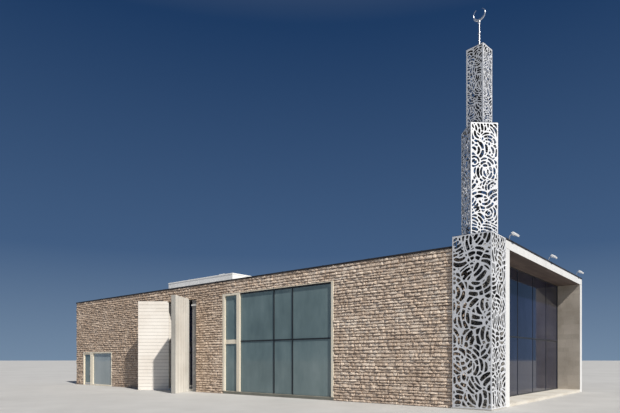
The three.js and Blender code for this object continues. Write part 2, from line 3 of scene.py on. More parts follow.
import bpy
import numpy as np
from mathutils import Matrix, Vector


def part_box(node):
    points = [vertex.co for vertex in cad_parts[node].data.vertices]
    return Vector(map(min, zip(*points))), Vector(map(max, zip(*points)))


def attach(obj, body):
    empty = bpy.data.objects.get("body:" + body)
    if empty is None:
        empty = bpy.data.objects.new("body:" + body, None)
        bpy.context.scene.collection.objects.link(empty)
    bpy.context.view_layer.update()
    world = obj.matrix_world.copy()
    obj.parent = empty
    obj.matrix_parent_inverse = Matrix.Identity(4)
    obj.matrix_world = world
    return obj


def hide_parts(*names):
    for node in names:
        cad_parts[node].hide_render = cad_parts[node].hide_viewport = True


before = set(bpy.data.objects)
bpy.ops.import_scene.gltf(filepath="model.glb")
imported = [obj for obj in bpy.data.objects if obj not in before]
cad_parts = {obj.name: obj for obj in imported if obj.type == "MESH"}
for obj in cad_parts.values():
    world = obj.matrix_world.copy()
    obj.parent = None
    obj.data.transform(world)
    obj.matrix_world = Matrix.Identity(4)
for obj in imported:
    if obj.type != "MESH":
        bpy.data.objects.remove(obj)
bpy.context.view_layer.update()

# Mosque building in metres: +X along the street front toward the minaret, +Y into the building, +Z up.

UP = np.array([0.0, 0.0, 1.0])


def ends(node):
    """Lowest and highest corner of a CAD node, as arrays."""
    low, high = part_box(node)
    return np.array(low), np.array(high)


def span(node):
    """The rectangle (u0, u1, v0, v1) of a CAD node, seen from the street."""
    low, high = ends(node)
    return low[0], high[0], low[2], high[2]


# Planes and levels, most of them read from the frame
STREET = ends("street_pier_west")[0][1]
BACK = ends("back_wall")[1][1]
WEST, WALL_TOP = span("west_wall")[::3]
NOTCH_EAST = span("street_wall_east")[1]
PORTAL_WEST, PORTAL_EAST, SOFFIT, SLAB_TOP = span("portal_roof_slab")
NEAR_OUTER, NEAR_INNER = (corner[1] for corner in ends("portal_wall_south"))
FAR_INNER, FAR_OUTER = (corner[1] for corner in ends("portal_wall_north"))
FLOOR = ends("ground_floor_slab")[1][2]
ROOF = 7.05
UPPER_FLOOR = (3.16, 3.41)

# Openings: spans along x, heights, and the depths w of the street frames' front and back
SHOP_TOP = span("wall_over_shopfront")[2]
WINDOW_TOP = span("wall_over_window")[2]
SHOP_POST = (-15.90, -15.47)
RAIL = 0.10
THRESHOLD = 0.025
HEAD = 6.20
SILL = 0.18
COLUMN = (1.38, 2.48)
HALL = (2.78, 9.87)
MULLIONS = (5.62, 7.07)
MULLION = 0.06
PROUD = 0.045
TRANSOM = (3.27, 3.33)
STREET_FRAME = ends("street_window_frame")
FRAME_FRONT = STREET - STREET_FRAME[0][1]
FRAME_BACK = FRAME_FRONT - (STREET_FRAME[1][1] - STREET_FRAME[0][1])
BACK_WINDOWS = [ends(f"back_window_{name}") for name in ("west", "mid", "east")]

# Recessed entrance, and the ends of the given face of each free slab that stands before it
RECESS_WEST, RECESS_TOP = span("entrance_lintel")[::2]
JAMB_WEST = span("entrance_jamb")[0]
SCREEN_FRONT = ends("entrance_frame")[0][1]
SCREEN_BAR = 0.08
DOORWAY = (-4.50, -2.50)
DOOR_TOP = 2.65
WEST_SLAB = ((-6.35, -9.727), (-4.665, -8.35))
EAST_SLAB = ((-1.20, -10.25), (-2.312, -8.35))
FREE_SLAB = 0.30
FREE_SLAB_TOP = span("entrance_slab_west")[3]

# Height of the arms of the floodlights over the portal
FLOODLIGHT_ARM = 7.95

# Portal glazing
PORTAL_GLAZING = ends("portal_window_frame")[1][0]
PORTAL_TRANSOM = (3.38, 3.44)
PORTAL_BAYS = 5
PORTAL_BAR = 0.06

# Minaret: its axis, the plates' thickness, and for each tier its name, side, turn in degrees, bottom, top,
# distance between rings of slots, size of a patch, and grid cell
MINARET = np.array([17.54, -7.59, 0.0])
PLATE = 0.012
TIERS = (
    ("lower", 1.744, 0.0, 0.05, 7.60, 0.198, 0.66, 0.034),
    ("middle", 1.196, 42.5, 7.60, 12.44, 0.145, 0.48, 0.028),
    ("upper", 0.809, 83.1, 12.44, 15.93, 0.100, 0.33, 0.021),
)


class Face:
    """A plane of the building. A point (u, v, w) on it is origin + u * along + v * up + w * out, where
    out is the cross product of along and up, so w above 0 stands proud of the plane."""

    def __init__(self, origin, along, up=UP):
        self.origin = np.asarray(origin, float)
        self.axes = np.stack([along, up, np.cross(along, up)]).astype(float)

    def place(self, points):
        """The points (u, v, w) in the building's frame."""
        return self.origin + np.asarray(points) @ self.axes


def level_face(z):
    """The level plane at the height z, seen from above, with u along +X."""
    return Face((0, 0, z), (1, 0, 0), (0, 1, 0))


def ceiling_face(z):
    """The level plane at the height z, seen from below, with u along +Y."""
    return Face((0, 0, z), (0, 1, 0), (1, 0, 0))


def south_face(y):
    """The upright plane that faces the street."""
    return Face((0, y, 0), (1, 0, 0))


def north_face(y):
    """The upright plane that faces the back, with u along -X."""
    return Face((0, y, 0), (-1, 0, 0))


def west_face(x):
    """The upright plane that faces west, with u along -Y."""
    return Face((x, 0, 0), (0, -1, 0))


def east_face(x):
    """The upright plane that faces east, with u along +Y."""
    return Face((x, 0, 0), (0, 1, 0))


STREET_FACE = south_face(STREET)
BACK_FACE = north_face(BACK)
PORTAL_FACE = east_face(PORTAL_GLAZING)
SCREEN_FACE = south_face(SCREEN_FRONT)


class Shell:
    """The surfaces of one piece while it is made. Every point has a tone, which a finish uses to tell one
    stone or board from the next, and a crown, which is 0 at a stone's edge and 1 on its face; a finish's edge
    darkens low crowns as painted shade."""

    def __init__(self):
        self.points, self.faces, self.tones, self.crowns = [], [], [], []
        self.count = 0

    def add(self, surface, face=None):
        """Takes a surface (points, faces, tones, crowns), given on a face or in the building's frame. Tones
        and crowns that are missing are 0.5 and 1."""
        points, faces = surface[0], surface[1]
        tones, crowns = list(surface[2:]) + [0.5, 1.0][len(surface) - 2:]
        points = np.asarray(points, float).reshape(-1, 3)
        if face is not None:
            points = face.place(points)
        self.points.append(points)
        self.faces += [np.asarray(group) + self.count for group in faces if len(group)]
        self.tones.append(np.broadcast_to(tones, len(points)))
        self.crowns.append(np.broadcast_to(crowns, len(points)))
        self.count += len(points)
        return self

    def make(self, name, material, slot, body="building", replaces=(), crease=32):
        """Puts the arrays into a mesh object that rides on a body and stands for the nodes it replaces.
        Edges that turn by more than the crease, in degrees, stay sharp."""
        mesh = bpy.data.meshes.new(name)
        points = np.concatenate(self.points).astype(np.float32)
        sizes = np.concatenate([np.full(len(group), group.shape[1]) for group in self.faces])
        corners = np.concatenate([group.ravel() for group in self.faces]).astype(np.int32)
        mesh.vertices.add(len(points))
        mesh.vertices.foreach_set("co", points.ravel())
        mesh.loops.add(len(corners))
        mesh.loops.foreach_set("vertex_index", corners)
        mesh.polygons.add(len(sizes))
        starts = np.concatenate([[0], np.cumsum(sizes)[:-1]]).astype(np.int32)
        mesh.polygons.foreach_set("loop_start", starts)
        mesh.update(calc_edges=True)
        for label, values in (("tone", self.tones), ("crown", self.crowns)):
            mesh.attributes.new(label, "FLOAT", "POINT")
            mesh.attributes[label].data.foreach_set("value", np.concatenate(values).astype(np.float32))
        mesh.set_sharp_from_angle(angle=math.radians(crease))
        mesh.materials.append(material)
        piece = bpy.data.objects.new(name, mesh)
        bpy.context.scene.collection.objects.link(piece)
        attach(piece, body)
        if replaces:
            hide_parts(*replaces)


# Shapes

def block_pattern():
    """A block with its 12 edges cut: each corner gives one point to each of its three faces. Returns the
    signs of the 24 points, which axes are pulled in by the cut, and the 6 + 12 quads and 8 triangles."""
    signs = np.array([[x, y, z] for x in (-1, 1) for y in (-1, 1) for z in (-1, 1)])
    sign = np.repeat(signs, 3, axis=0)
    pulled = np.tile(1 - np.eye(3), (8, 1))
    unit = sign * (1 - 0.2 * pulled)

    def point(corner, axis):
        """Number of the point that a corner gives to the face square to the axis."""
        return 3 * int(4 * (corner[0] > 0) + 2 * (corner[1] > 0) + (corner[2] > 0)) + axis

    def outward(ring):
        """The ring of points, turned so that it faces away from the middle."""
        a, b, c = unit[ring[0]], unit[ring[1]], unit[ring[2]]
        return ring if np.cross(b - a, c - a) @ unit[ring].mean(axis=0) > 0 else ring[::-1]

    quads = []
    for axis in range(3):
        second, third = (axis + 1) % 3, (axis + 2) % 3
        for side in (-1, 1):
            corners = np.zeros((4, 3))
            corners[:, axis] = side
            corners[:, second] = (-1, 1, 1, -1)
            corners[:, third] = (-1, -1, 1, 1)
            quads.append(outward([point(corner, axis) for corner in corners]))
        for side in ((-1, -1), (1, -1), (1, 1), (-1, 1)):
            low = np.zeros(3)
            low[second], low[third], low[axis] = side[0], side[1], -1
            high = low.copy()
            high[axis] = 1
            quads.append(outward([point(low, second), point(high, second),
                                  point(high, third), point(low, third)]))
    triangles = [outward([3 * corner, 3 * corner + 1, 3 * corner + 2]) for corner in range(8)]
    return sign, pulled, np.array(quads), np.array(triangles)


BLOCK = block_pattern()


def blocks(rows, cut, seed=1):
    """Blocks with cut edges, one for each row (u0, u1, v0, v1, w0, w1). A point is the middle plus its
    sign times the half size, less the cut on the two axes that its face doesn't belong to."""
    rows = np.asarray(rows, float).reshape(-1, 6)
    sign, pulled, quads, triangles = BLOCK
    middle = (rows[:, 0::2] + rows[:, 1::2]) / 2
    half = np.abs(rows[:, 1::2] - rows[:, 0::2]) / 2
    edge = np.minimum(cut, half.min(axis=1) * 0.45)[:, None, None]
    points = middle[:, None] + sign * (half[:, None] - edge * pulled)
    start = 24 * np.arange(len(rows))[:, None, None]
    tones = np.random.default_rng(seed).uniform(0, 1, len(rows))
    faces = [(quads + start).reshape(-1, 4), (triangles + start).reshape(-1, 3)]
    return points.reshape(-1, 3), faces, np.repeat(tones, 24)


def patches(front, back, tones=None, crown=None):
    """Closed shells with a shaped face. front is a grid of points, (pieces, rows, columns, 3). Its four
    corners go back to the depth w = back, one value or one a piece; each side fans out from its first
    back corner to the points along its edge, and a flat back closes the shell."""
    count, rows, columns = front.shape[:3]
    index = np.arange(rows * columns).reshape(rows, columns)
    edges = (index[0], index[:, -1], index[-1, ::-1], index[::-1, 0])
    flat = front.reshape(count, -1, 3)
    ring = flat[:, [edge[0] for edge in edges]].copy()
    ring[..., 2] = np.broadcast_to(np.reshape(back, (-1, 1)), ring.shape[:2])
    rim = rows * columns + np.arange(4)
    quads = np.stack([index[:-1, :-1], index[:-1, 1:], index[1:, 1:], index[1:, :-1]], -1).reshape(-1, 4)
    fans = np.concatenate([np.stack([edge[:-2], np.full(len(edge) - 2, rim[k]), edge[1:-1]], -1)
                           for k, edge in enumerate(edges)])
    last = np.array([(edge[-2], rim[k], rim[(k + 1) % 4], edge[-1]) for k, edge in enumerate(edges)])
    size = rows * columns + 4
    start = size * np.arange(count)[:, None, None]
    faces = [(quads + start).reshape(-1, 4), (fans + start).reshape(-1, 3), (last + start).reshape(-1, 4),
             rim[::-1] + start[:, 0]]
    tone = np.full(count, 0.5) if tones is None else tones
    crowns = np.ones((count, size))
    if crown is not None:
        crowns[:, :rows * columns] = crown.reshape(count, -1)
        crowns[:, rows * columns:] = 0
    points = np.concatenate([flat, ring], axis=1)
    return points.reshape(-1, 3), faces, np.repeat(tone, size), crowns.ravel()


def wound(profile):
    """The closed profile as an array of points that runs clockwise."""
    profile = np.asarray(profile, float)
    x, y = profile.T
    area = np.sum(x * np.roll(y, -1) - np.roll(x, -1) * y)
    return profile[::-1] if area > 0 else profile


def loops(rows, profile):
    """Mitred frames round the rectangles (u0, u1, v0, v1). The profile is points (inset, w): at each of
    the four corners a point lies its inset in from both sides, and the profile is carried round."""
    rows = np.asarray(rows, float).reshape(-1, 4)
    profile = wound(profile)
    inset, depth = profile.T
    u0, u1, v0, v1 = (rows[:, k, None] for k in range(4))
    corners = [(u0 + inset, v0 + inset), (u1 - inset, v0 + inset),
               (u1 - inset, v1 - inset), (u0 + inset, v1 - inset)]
    points = np.stack([np.stack([u, v, np.broadcast_to(depth, u.shape)], -1) for u, v in corners], 1)
    return points.reshape(-1, 3), [ring_quads(4, len(profile), True, len(rows))]


def ring_quads(stations, around, closed, copies=1):
    """Quads between the stations of a profile carried along a path, for each of the copies."""
    here = np.arange(stations if closed else stations - 1)[:, None]
    there = (here + 1) % stations
    point = np.arange(around)[None, :]
    after = (point + 1) % around
    quads = np.stack([here * around + point, there * around + point,
                      there * around + after, here * around + after], -1).reshape(-1, 4)
    return (quads + stations * around * np.arange(copies)[:, None, None]).reshape(-1, 4)


def carried(profile, path):
    """A profile of points (out, rise) carried along a level path with mitred corners. The mitre at a
    corner is the sum of the two normals over one plus their product, and two flat ends close it."""
    profile = wound(profile)
    path = np.asarray(path, float)
    way = np.diff(path, axis=0)
    way /= np.linalg.norm(way, axis=1, keepdims=True)
    normal = np.stack([-way[:, 1], way[:, 0]], 1)
    before, after = np.vstack([normal[:1], normal]), np.vstack([normal, normal[-1:]])
    mitre = (before + after) / (1 + np.sum(before * after, axis=1, keepdims=True))
    flat = path[:, None, :2] + mitre[:, None] * profile[None, :, :1]
    rise = np.broadcast_to(profile[:, 1], flat.shape[:2])[..., None]
    points = np.concatenate([flat, rise], axis=2)
    around = len(profile)
    first, last = np.arange(around)[None], np.arange(around)[None, ::-1] + around * (len(path) - 1)
    return points.reshape(-1, 3), [ring_quads(len(path), around, False), first, last]


def tube(path, radius, sides, reference, axis=None, squeeze=1.0):
    """A round bar along a path: at each point a circle of its own radius, square to the way the path
    runs, or to one fixed axis, with flat ends. Squeeze scales the circle along the reference."""
    path = np.asarray(path, float)
    way = np.gradient(path, axis=0) if axis is None else np.tile(np.asarray(axis, float), (len(path), 1))
    way /= np.linalg.norm(way, axis=1, keepdims=True)
    side = np.asarray(reference, float) - (way @ np.asarray(reference, float))[:, None] * way
    side /= np.linalg.norm(side, axis=1, keepdims=True)
    other = np.cross(way, side)
    radius = np.broadcast_to(radius, len(path))[:, None, None]
    flat = np.broadcast_to(squeeze, len(path))[:, None, None]
    angle = np.linspace(0, 2 * np.pi, sides, endpoint=False)[None, :, None]
    circle = np.cos(angle) * side[:, None] * flat + np.sin(angle) * other[:, None]
    points = path[:, None] + radius * circle
    quads = ring_quads(len(path), sides, False)[:, ::-1]
    first, last = np.arange(sides)[None, ::-1], np.arange(sides)[None] + sides * (len(path) - 1)
    return points.reshape(-1, 3), [quads, first, last]


def turned(profile, centre):
    """A turned part: circles of radius r at each height of the profile (r, z), about an upright axis."""
    profile = np.asarray(profile, float)
    path = np.column_stack([np.tile(np.asarray(centre, float)[:2], (len(profile), 1)), profile[:, 1]])
    return tube(path, profile[:, 0], 20, (1, 0, 0), UP)


def strips(start, stop, count, gap=0.0):
    """Equal parts from start to stop, as pairs, each pulled in by the gap at both ends."""
    lines = np.linspace(start, stop, count + 1)
    return list(zip(lines[:-1] + gap, lines[1:] - gap))


# Stone walling: how far courses and stones differ in height and length, how far a stone sits off its bed,
# and half the joints of split and of sawn stone

TOUCH = 1e-4
COURSE_SPREAD = (0.72, 1.28)
LEAST_COURSE = 0.035
LENGTH_SPREAD = (0.45, 1.7)
BED_SHIFT = 0.006
BED_TURN = 0.007
END_JOINT = 0.003
BED_JOINT = 0.006
SAWN_JOINT = 0.0018


def course_levels(marks, height, seed):
    """Heights of the bed joints. Between two marks the courses share the rise in seeded unequal parts."""
    rng = np.random.default_rng(seed)
    levels = [np.array([marks[0]])]
    for low, high in zip(marks[:-1], marks[1:]):
        parts = rng.uniform(*COURSE_SPREAD, max(1, round((high - low) / height)))
        levels.append(low + (high - low) * np.cumsum(parts) / parts.sum())
    return np.concatenate(levels)


def lay(walls, levels, length, seed, corners=(0, 0), quoin=0.0, parity=0):
    """Stones as rows (u0, u1, v0, v1). Each course takes the stretches of wall that it crosses, joined
    where they meet, and cuts them into seeded lengths. On every second course the stones at the wall's
    two corners run on by the quoin, to bond with the wall round the corner."""
    rng = np.random.default_rng(seed)
    rows = []
    for course, (low, high) in enumerate(zip(levels[:-1], levels[1:])):
        runs = []
        for u0, u1, v0, v1 in sorted(walls):
            bottom, top = max(low, v0), min(high, v1)
            if top - bottom < LEAST_COURSE:
                continue
            if runs and abs(runs[-1][1] - u0) < TOUCH and runs[-1][2:] == [bottom, top]:
                runs[-1][1] = u1
            else:
                runs.append([u0, u1, bottom, top])
        for u0, u1, bottom, top in runs:
            if course % 2 == parity:
                u0 -= quoin * (abs(u0 - corners[0]) < TOUCH)
                u1 += quoin * (abs(u1 - corners[1]) < TOUCH)
            parts = rng.uniform(*LENGTH_SPREAD, max(1, round((u1 - u0) / length)))
            cuts = u0 + (u1 - u0) * np.concatenate([[0], np.cumsum(parts) / parts.sum()])
            rows += [(left, right, bottom, top) for left, right in zip(cuts[:-1], cuts[1:])]
    return np.array(rows)


# Lowers the stones' tones toward the west.
def westward_darkening(x):
    """How far the stones' tones are lowered at each x: 0 east of x = 4 m, then in a straight line up to
    0.9 at x = -1 m and west of it."""
    return 0.9 * np.clip((4 - x) / 5, 0, 1)


def split_stones(rows, cells, seed, darker, reach=(0.016, 0.068), rough=0.010):
    """Stones with a split face. Over s and t from 0 to 1 a face climbs from its lower bed to a ridge at its
    own height r, which runs a little aslant, and slopes back above it. It stands out by its reach times
    1 - 0.85 ((t - r) / (1 - r))^1.2 above the ridge and 1 - 0.4 ((r - t) / r)^2 below it, less half
    (2s - 1)^6 at the ends. It leans by a seeded slope, sits a little off its bed and carries seeded chips,
    and its edges wander. The crown falls to 0 at the beds, by 1 - (2t - 1)^4, and to a half at the upright
    joints."""
    # Where the crown is low, at the beds and joints, the finish darkens the stone as painted shade.
    rng = np.random.default_rng(seed)
    s, t = np.meshgrid(np.linspace(0, 1, cells[0] + 1), np.linspace(0, 1, cells[1] + 1))
    shape = (len(rows),) + s.shape
    u0, u1, v0, v1 = (rows[:, k, None, None] for k in range(4))
    crown = np.broadcast_to((1 - 0.5 * (2 * s - 1) ** 8) * (1 - (2 * t - 1) ** 4), shape)
    inside = 1.0 * ((s > 0) & (s < 1) & (t > 0) & (t < 1))
    step_u, step_v = (u1 - u0) / cells[0], (v1 - v0) / cells[1]
    u = u0 + END_JOINT + (u1 - u0 - 2 * END_JOINT) * s
    own = (len(rows), 1, 1)
    sag = BED_SHIFT * rng.uniform(-1, 1, own) + BED_TURN * rng.uniform(-1, 1, own) * (2 * s - 1)
    v = v0 + BED_JOINT + (v1 - v0 - 2 * BED_JOINT) * t + sag * (v0 > 0.01) * (v1 < WALL_TOP - 0.01)
    u = u + rng.uniform(-1, 1, shape) * (0.004 * (1 - inside) + 0.25 * step_u * inside)
    v = v + rng.uniform(-1, 1, shape) * (0.003 * (1 - inside) + 0.2 * step_v * inside)
    ridge = rng.uniform(0.18, 0.5, own) + rng.uniform(-0.3, 0.3, own) * (s - 0.5)
    above, below = np.clip((t - ridge) / (1 - ridge), 0, 1), np.clip((ridge - t) / ridge, 0, 1)
    stand = rng.uniform(reach[0], reach[1], own)
    face = 1 - 0.85 * above ** 1.2 - 0.4 * below ** 2 - 0.5 * (2 * s - 1) ** 6
    w = stand * (np.clip(face, 0.1, 1) + rng.uniform(-0.6, 0.6, own) * (2 * s - 1))
    w = np.clip(w + rng.normal(0, rough, shape), 0.003, reach[1] + 0.003)
    tones = rng.uniform(0, 1, len(rows)) - darker
    return patches(np.stack([u, v, w], -1), -0.01, tones, crown)


def sawn_blocks(walls, levels, length, seed, depth, bed=SAWN_JOINT):
    """Sawn blocks in courses, each with cut edges, and a millimetre or two of lip from one to the next."""
    rows = lay(walls, levels, length, seed)
    lip = np.random.default_rng(seed).uniform(0, 0.002, len(rows))
    return blocks(np.column_stack([rows[:, 0] + SAWN_JOINT, rows[:, 1] - SAWN_JOINT, rows[:, 2] + bed,
                                   rows[:, 3] - bed, 0 * lip - 0.004, depth - lip]), 0.003, seed)


def slab_plan(outer, inner):
    """Plan of a free slab from its given face round to its outer end: the face moved square to itself by
    the thickness, with the inner end cut along the street front where it would run into the wall."""
    outer, inner = np.array(outer), np.array(inner)
    length = np.linalg.norm(inner - outer)
    way = (inner - outer) / length
    end = outer + FREE_SLAB * np.array([-way[1], way[0]])
    root = end + way * min(length, (STREET - end[1]) / way[1])
    return outer, inner, root, end


# Minaret plates: the solid rim in metres, and in pitches the steel left at an arc's end or a patch's border
# and the rounding of the corners

RIM = 0.045
BRIDGE = 0.13
ROUND_OFF = 0.045


def slot_depth(u, v, width, height, pitch, patch, rng):
    """How far a point lies inside a slot, in metres, above 0 where the plate is cut away. The plate is
    shared out among seeded centres, each point to its nearest. Round a pivot of each centre's own run
    rings, a pitch apart times the centre's own spread, and each ring is cut into arcs that swell to a
    seeded width and narrow toward their ends. The smooth least of the distances to the ring's edge, the
    arc's end, the patch's border and the rim gives the depth."""
    columns, rows = max(2, round(width / patch)), max(2, round(height / patch))
    a, b = np.meshgrid((np.arange(columns) + 0.5) / columns, (np.arange(rows) + 0.5) / rows)
    a = a + np.where(np.arange(rows) % 2, 0.25, -0.25)[:, None] / columns
    centres = np.column_stack([a.ravel() * width, b.ravel() * height])
    centres += rng.uniform(-0.3, 0.3, centres.shape) * patch
    away = np.hypot(u[..., None] - centres[:, 0], v[..., None] - centres[:, 1])
    nearest = np.argmin(away, axis=-1)
    two = np.partition(away, 1, axis=-1)
    border = (two[..., 1] - two[..., 0]) / 2 - BRIDGE * pitch
    heading = rng.uniform(0, 2 * np.pi, len(centres))
    throw = rng.uniform(0.35, 1.5, len(centres)) * patch
    pitch = pitch * rng.uniform(0.82, 1.22, len(centres))[nearest]
    pivot = centres + throw[:, None] * np.column_stack([np.cos(heading), np.sin(heading)])
    x, y = u - pivot[nearest, 0], v - pivot[nearest, 1]
    radius, angle = np.hypot(x, y), np.arctan2(y, x)
    ring = np.floor(radius / pitch)
    middle = (ring + 0.5) * pitch
    arc = rng.uniform(2.0, 4.4, len(centres))[nearest] * pitch
    arcs = np.maximum(2, np.round(2 * np.pi * middle / arc))
    share = (angle / (2 * np.pi) * arcs + 0.37 * ring + heading[nearest]) % 1
    stretch = 2 * np.pi * middle / arcs
    end = (0.5 - np.abs(share - 0.5)) * stretch - BRIDGE * pitch
    leaf = 0.5 + 0.5 * np.sin(np.pi * share) ** 0.8
    own = 0.37 + 0.05 * np.sin(2.1 * ring + 5 * heading[nearest])
    slot = own * pitch * leaf - np.abs(radius - middle)
    rim = np.minimum(np.minimum(u, width - u), np.minimum(v, height - v)) - RIM
    round_off = ROUND_OFF * pitch
    parts = np.stack([slot, end, border, rim])
    least = parts.min(axis=0)
    return least - round_off * np.log(np.exp(-(parts - least) / round_off).sum(axis=0)) + 0.5 * round_off


def held(solid):
    """The part of a grid of solid points that is joined to the rim, found by spreading from the rim."""
    reached = np.zeros_like(solid)
    reached[[0, -1]], reached[:, [0, -1]] = True, True
    while True:
        grown = reached.copy()
        grown[1:] |= reached[:-1]
        grown[:-1] |= reached[1:]
        grown[:, 1:] |= reached[:, :-1]
        grown[:, :-1] |= reached[:, 1:]
        grown &= solid
        if (grown == reached).all():
            return reached
        reached = grown


def crossing(first, second):
    """Where the depth passes 0 from one grid point to the next, as a share of the way, kept off both."""
    return np.clip(first / (first - second + 1e-12), 0.06, 0.94)


def slotted_plate(width, height, pitch, patch, cell, seed):
    """A steel plate with curved slots, from w = 0 back to its thickness. The depth of the slots is worked
    out on a grid. A cell's solid part is the polygon of its solid corners and the points where the depth
    passes 0 on its sides; the polygons make both faces, and walls close the slots and the outer edge.
    The crown is 1 on the face and 0 on the back, so the finish paints shade on the backs and the slot walls."""
    rng = np.random.default_rng(seed)
    columns, rows = round(width / cell), round(height / cell)
    u, v = np.meshgrid(np.linspace(0, width, columns + 1), np.linspace(0, height, rows + 1))
    solid = -slot_depth(u, v, width, height, pitch, patch, rng)
    solid = np.where((solid > 0) & ~held(solid > 0), -0.25 * cell, solid)
    across = crossing(solid[:, :-1], solid[:, 1:])
    upward = crossing(solid[:-1], solid[1:])
    nodes = np.stack([u, v], -1)
    level = nodes[:, :-1] + across[..., None] * (nodes[:, 1:] - nodes[:, :-1])
    upright = nodes[:-1] + upward[..., None] * (nodes[1:] - nodes[:-1])
    flat = np.concatenate([part.reshape(-1, 2) for part in (nodes, level, upright)])
    node = np.arange(nodes[..., 0].size).reshape(u.shape)
    side = node.size + np.arange(level[..., 0].size).reshape(rows + 1, columns)
    post = node.size + side.size + np.arange(upright[..., 0].size).reshape(rows, columns + 1)
    round_cell = np.stack([node[:-1, :-1], side[:-1], node[:-1, 1:], post[:, 1:], node[1:, 1:], side[1:],
                           node[1:, :-1], post[:, :-1]], -1).reshape(-1, 8)
    there = solid > 0
    kind = (there[:-1, :-1] + 2 * there[:-1, 1:] + 4 * there[1:, 1:] + 8 * there[1:, :-1]).ravel()
    faces, walls = [], []
    for case in range(1, 16):
        on = [bool(case >> corner & 1) for corner in range(4)]
        walk = [k for k in range(8) if (on[k // 2] if k % 2 == 0 else on[k // 2] != on[(k // 2 + 1) % 4])]
        cells = round_cell[kind == case]
        faces.append(cells[:, walk])
        for first, second in zip(walk, walk[1:] + walk[:1]):
            if first % 2 and second % 2:
                walls.append(cells[:, [first, second]])
    walls += [np.column_stack([node[0, :-1], node[0, 1:]]), np.column_stack([node[:-1, -1], node[1:, -1]]),
              np.column_stack([node[-1, 1:], node[-1, :-1]]), np.column_stack([node[1:, 0], node[:-1, 0]])]
    walls = np.concatenate(walls)
    used = np.unique(np.concatenate([group.ravel() for group in faces]))
    renumber = np.zeros(len(flat), int)
    renumber[used] = np.arange(len(used))
    front = np.column_stack([flat[used], np.zeros(len(used))])
    points = np.concatenate([front, front - [0, 0, PLATE]])
    faces = [renumber[group] for group in faces if len(group)]
    walls = renumber[walls]
    back = [group[:, ::-1] + len(used) for group in faces]
    sides = np.column_stack([walls[:, 0], walls[:, 0] + len(used), walls[:, 1] + len(used), walls[:, 1]])
    return points, faces + back + [sides], np.repeat([1.0, 0.0], len(used))


# Finishes

def step(graph, kind, inputs=None, **settings):
    """Adds a node, sets its values and wires the sockets given among its inputs."""
    node = graph.nodes.new(kind)
    for key, value in settings.items():
        setattr(node, key, value)
    for key, value in (inputs or {}).items():
        if isinstance(value, bpy.types.NodeSocket):
            graph.links.new(value, node.inputs[key])
        else:
            node.inputs[key].default_value = value
    return node


def ramp(graph, factor, stops):
    """A colour ramp through the stops (place, colour)."""
    node = step(graph, "ShaderNodeValToRGB", {0: factor})
    band = node.color_ramp
    while len(band.elements) < len(stops):
        band.elements.new(0.5)
    for element, (place, colour) in zip(band.elements, stops):
        element.position = place
        element.color = (*colour, 1)
    return node.outputs[0]


def shaded(graph, colour, shade):
    """The colour times the shade."""
    return step(graph, "ShaderNodeMix", {0: 1.0, 6: colour, 7: shade},
                data_type="RGBA", blend_type="MULTIPLY").outputs[2]


def sums(graph, kind, first, second):
    """One sum, difference or product of two numbers or sockets."""
    return step(graph, "ShaderNodeMath", {0: first, 1: second}, operation=kind).outputs[0]


def finish(name, tones, patch=0.5, grain=20.0, stretch=(1, 1, 1), relief=0.003, rough=(0.7, 0.9),
           by_piece=0.0, edge=0.0, chips=0.0, streak=0.0, strength=0.5, depth=(1, 1, 1), **shader):
    """A finish of three tones, dark to light. Half the broad noise plus half the fine noise, shifted by each
    piece's own tone, chooses among them. The fine noise, with cells where chips is above 0, makes the bump
    and shifts the roughness between its two values. Edge darkens low crowns toward the colour of the depth,
    which paints shade, and streak adds upright run marks."""
    material = bpy.data.materials.new(name)
    material.use_nodes = True
    graph = material.node_tree
    surface = graph.nodes["Principled BSDF"]
    place = step(graph, "ShaderNodeTexCoord").outputs["Object"]
    stretched = step(graph, "ShaderNodeMapping", {"Vector": place, "Scale": stretch}).outputs[0]
    broad = step(graph, "ShaderNodeTexNoise", {"Vector": place, "Scale": patch, "Detail": 3.0}).outputs[0]
    fine = step(graph, "ShaderNodeTexNoise",
                {"Vector": stretched, "Scale": grain, "Detail": 6.0, "Roughness": 0.6}).outputs[0]
    choice = sums(graph, "ADD", sums(graph, "MULTIPLY", broad, 0.5), sums(graph, "MULTIPLY", fine, 0.5))
    if by_piece:
        own = step(graph, "ShaderNodeAttribute", attribute_name="tone").outputs["Fac"]
        shift = sums(graph, "MULTIPLY", sums(graph, "SUBTRACT", own, 0.5), by_piece)
        choice = sums(graph, "ADD", choice, shift)
    colour = ramp(graph, choice, list(zip((0.32, 0.5, 0.68), tones)))
    if streak:
        runs = step(graph, "ShaderNodeMapping", {"Vector": place, "Scale": (1, 1, 0.06)}).outputs[0]
        marks = step(graph, "ShaderNodeTexNoise", {"Vector": runs, "Scale": 3.5, "Detail": 4.0}).outputs[0]
        shade = ramp(graph, marks, [(0.35, (1 - streak,) * 3), (0.6, (1, 1, 1))])
        colour = shaded(graph, colour, shade)
    # Painted shade: low crowns darkened toward the depth colour.
    if edge:
        crown = step(graph, "ShaderNodeAttribute", attribute_name="crown").outputs["Fac"]
        shade = ramp(graph, crown, [(0.0, [(1 - edge) * part for part in depth]), (0.55, (1, 1, 1))])
        colour = shaded(graph, colour, shade)
    height = fine
    if chips:
        cells = step(graph, "ShaderNodeTexVoronoi", {"Vector": stretched, "Scale": chips}).outputs["Distance"]
        height = sums(graph, "ADD", fine, sums(graph, "MULTIPLY", cells, 0.7))
    bump = step(graph, "ShaderNodeBump", {"Strength": strength, "Distance": relief, "Height": height})
    spread = step(graph, "ShaderNodeMapRange", {0: fine, 1: 0.3, 2: 0.7, 3: rough[0], 4: rough[1]})
    graph.links.new(colour, surface.inputs["Base Color"])
    graph.links.new(spread.outputs[0], surface.inputs["Roughness"])
    graph.links.new(bump.outputs[0], surface.inputs["Normal"])
    for socket, value in shader.items():
        surface.inputs[socket.replace("_", " ")].default_value = value
    return material
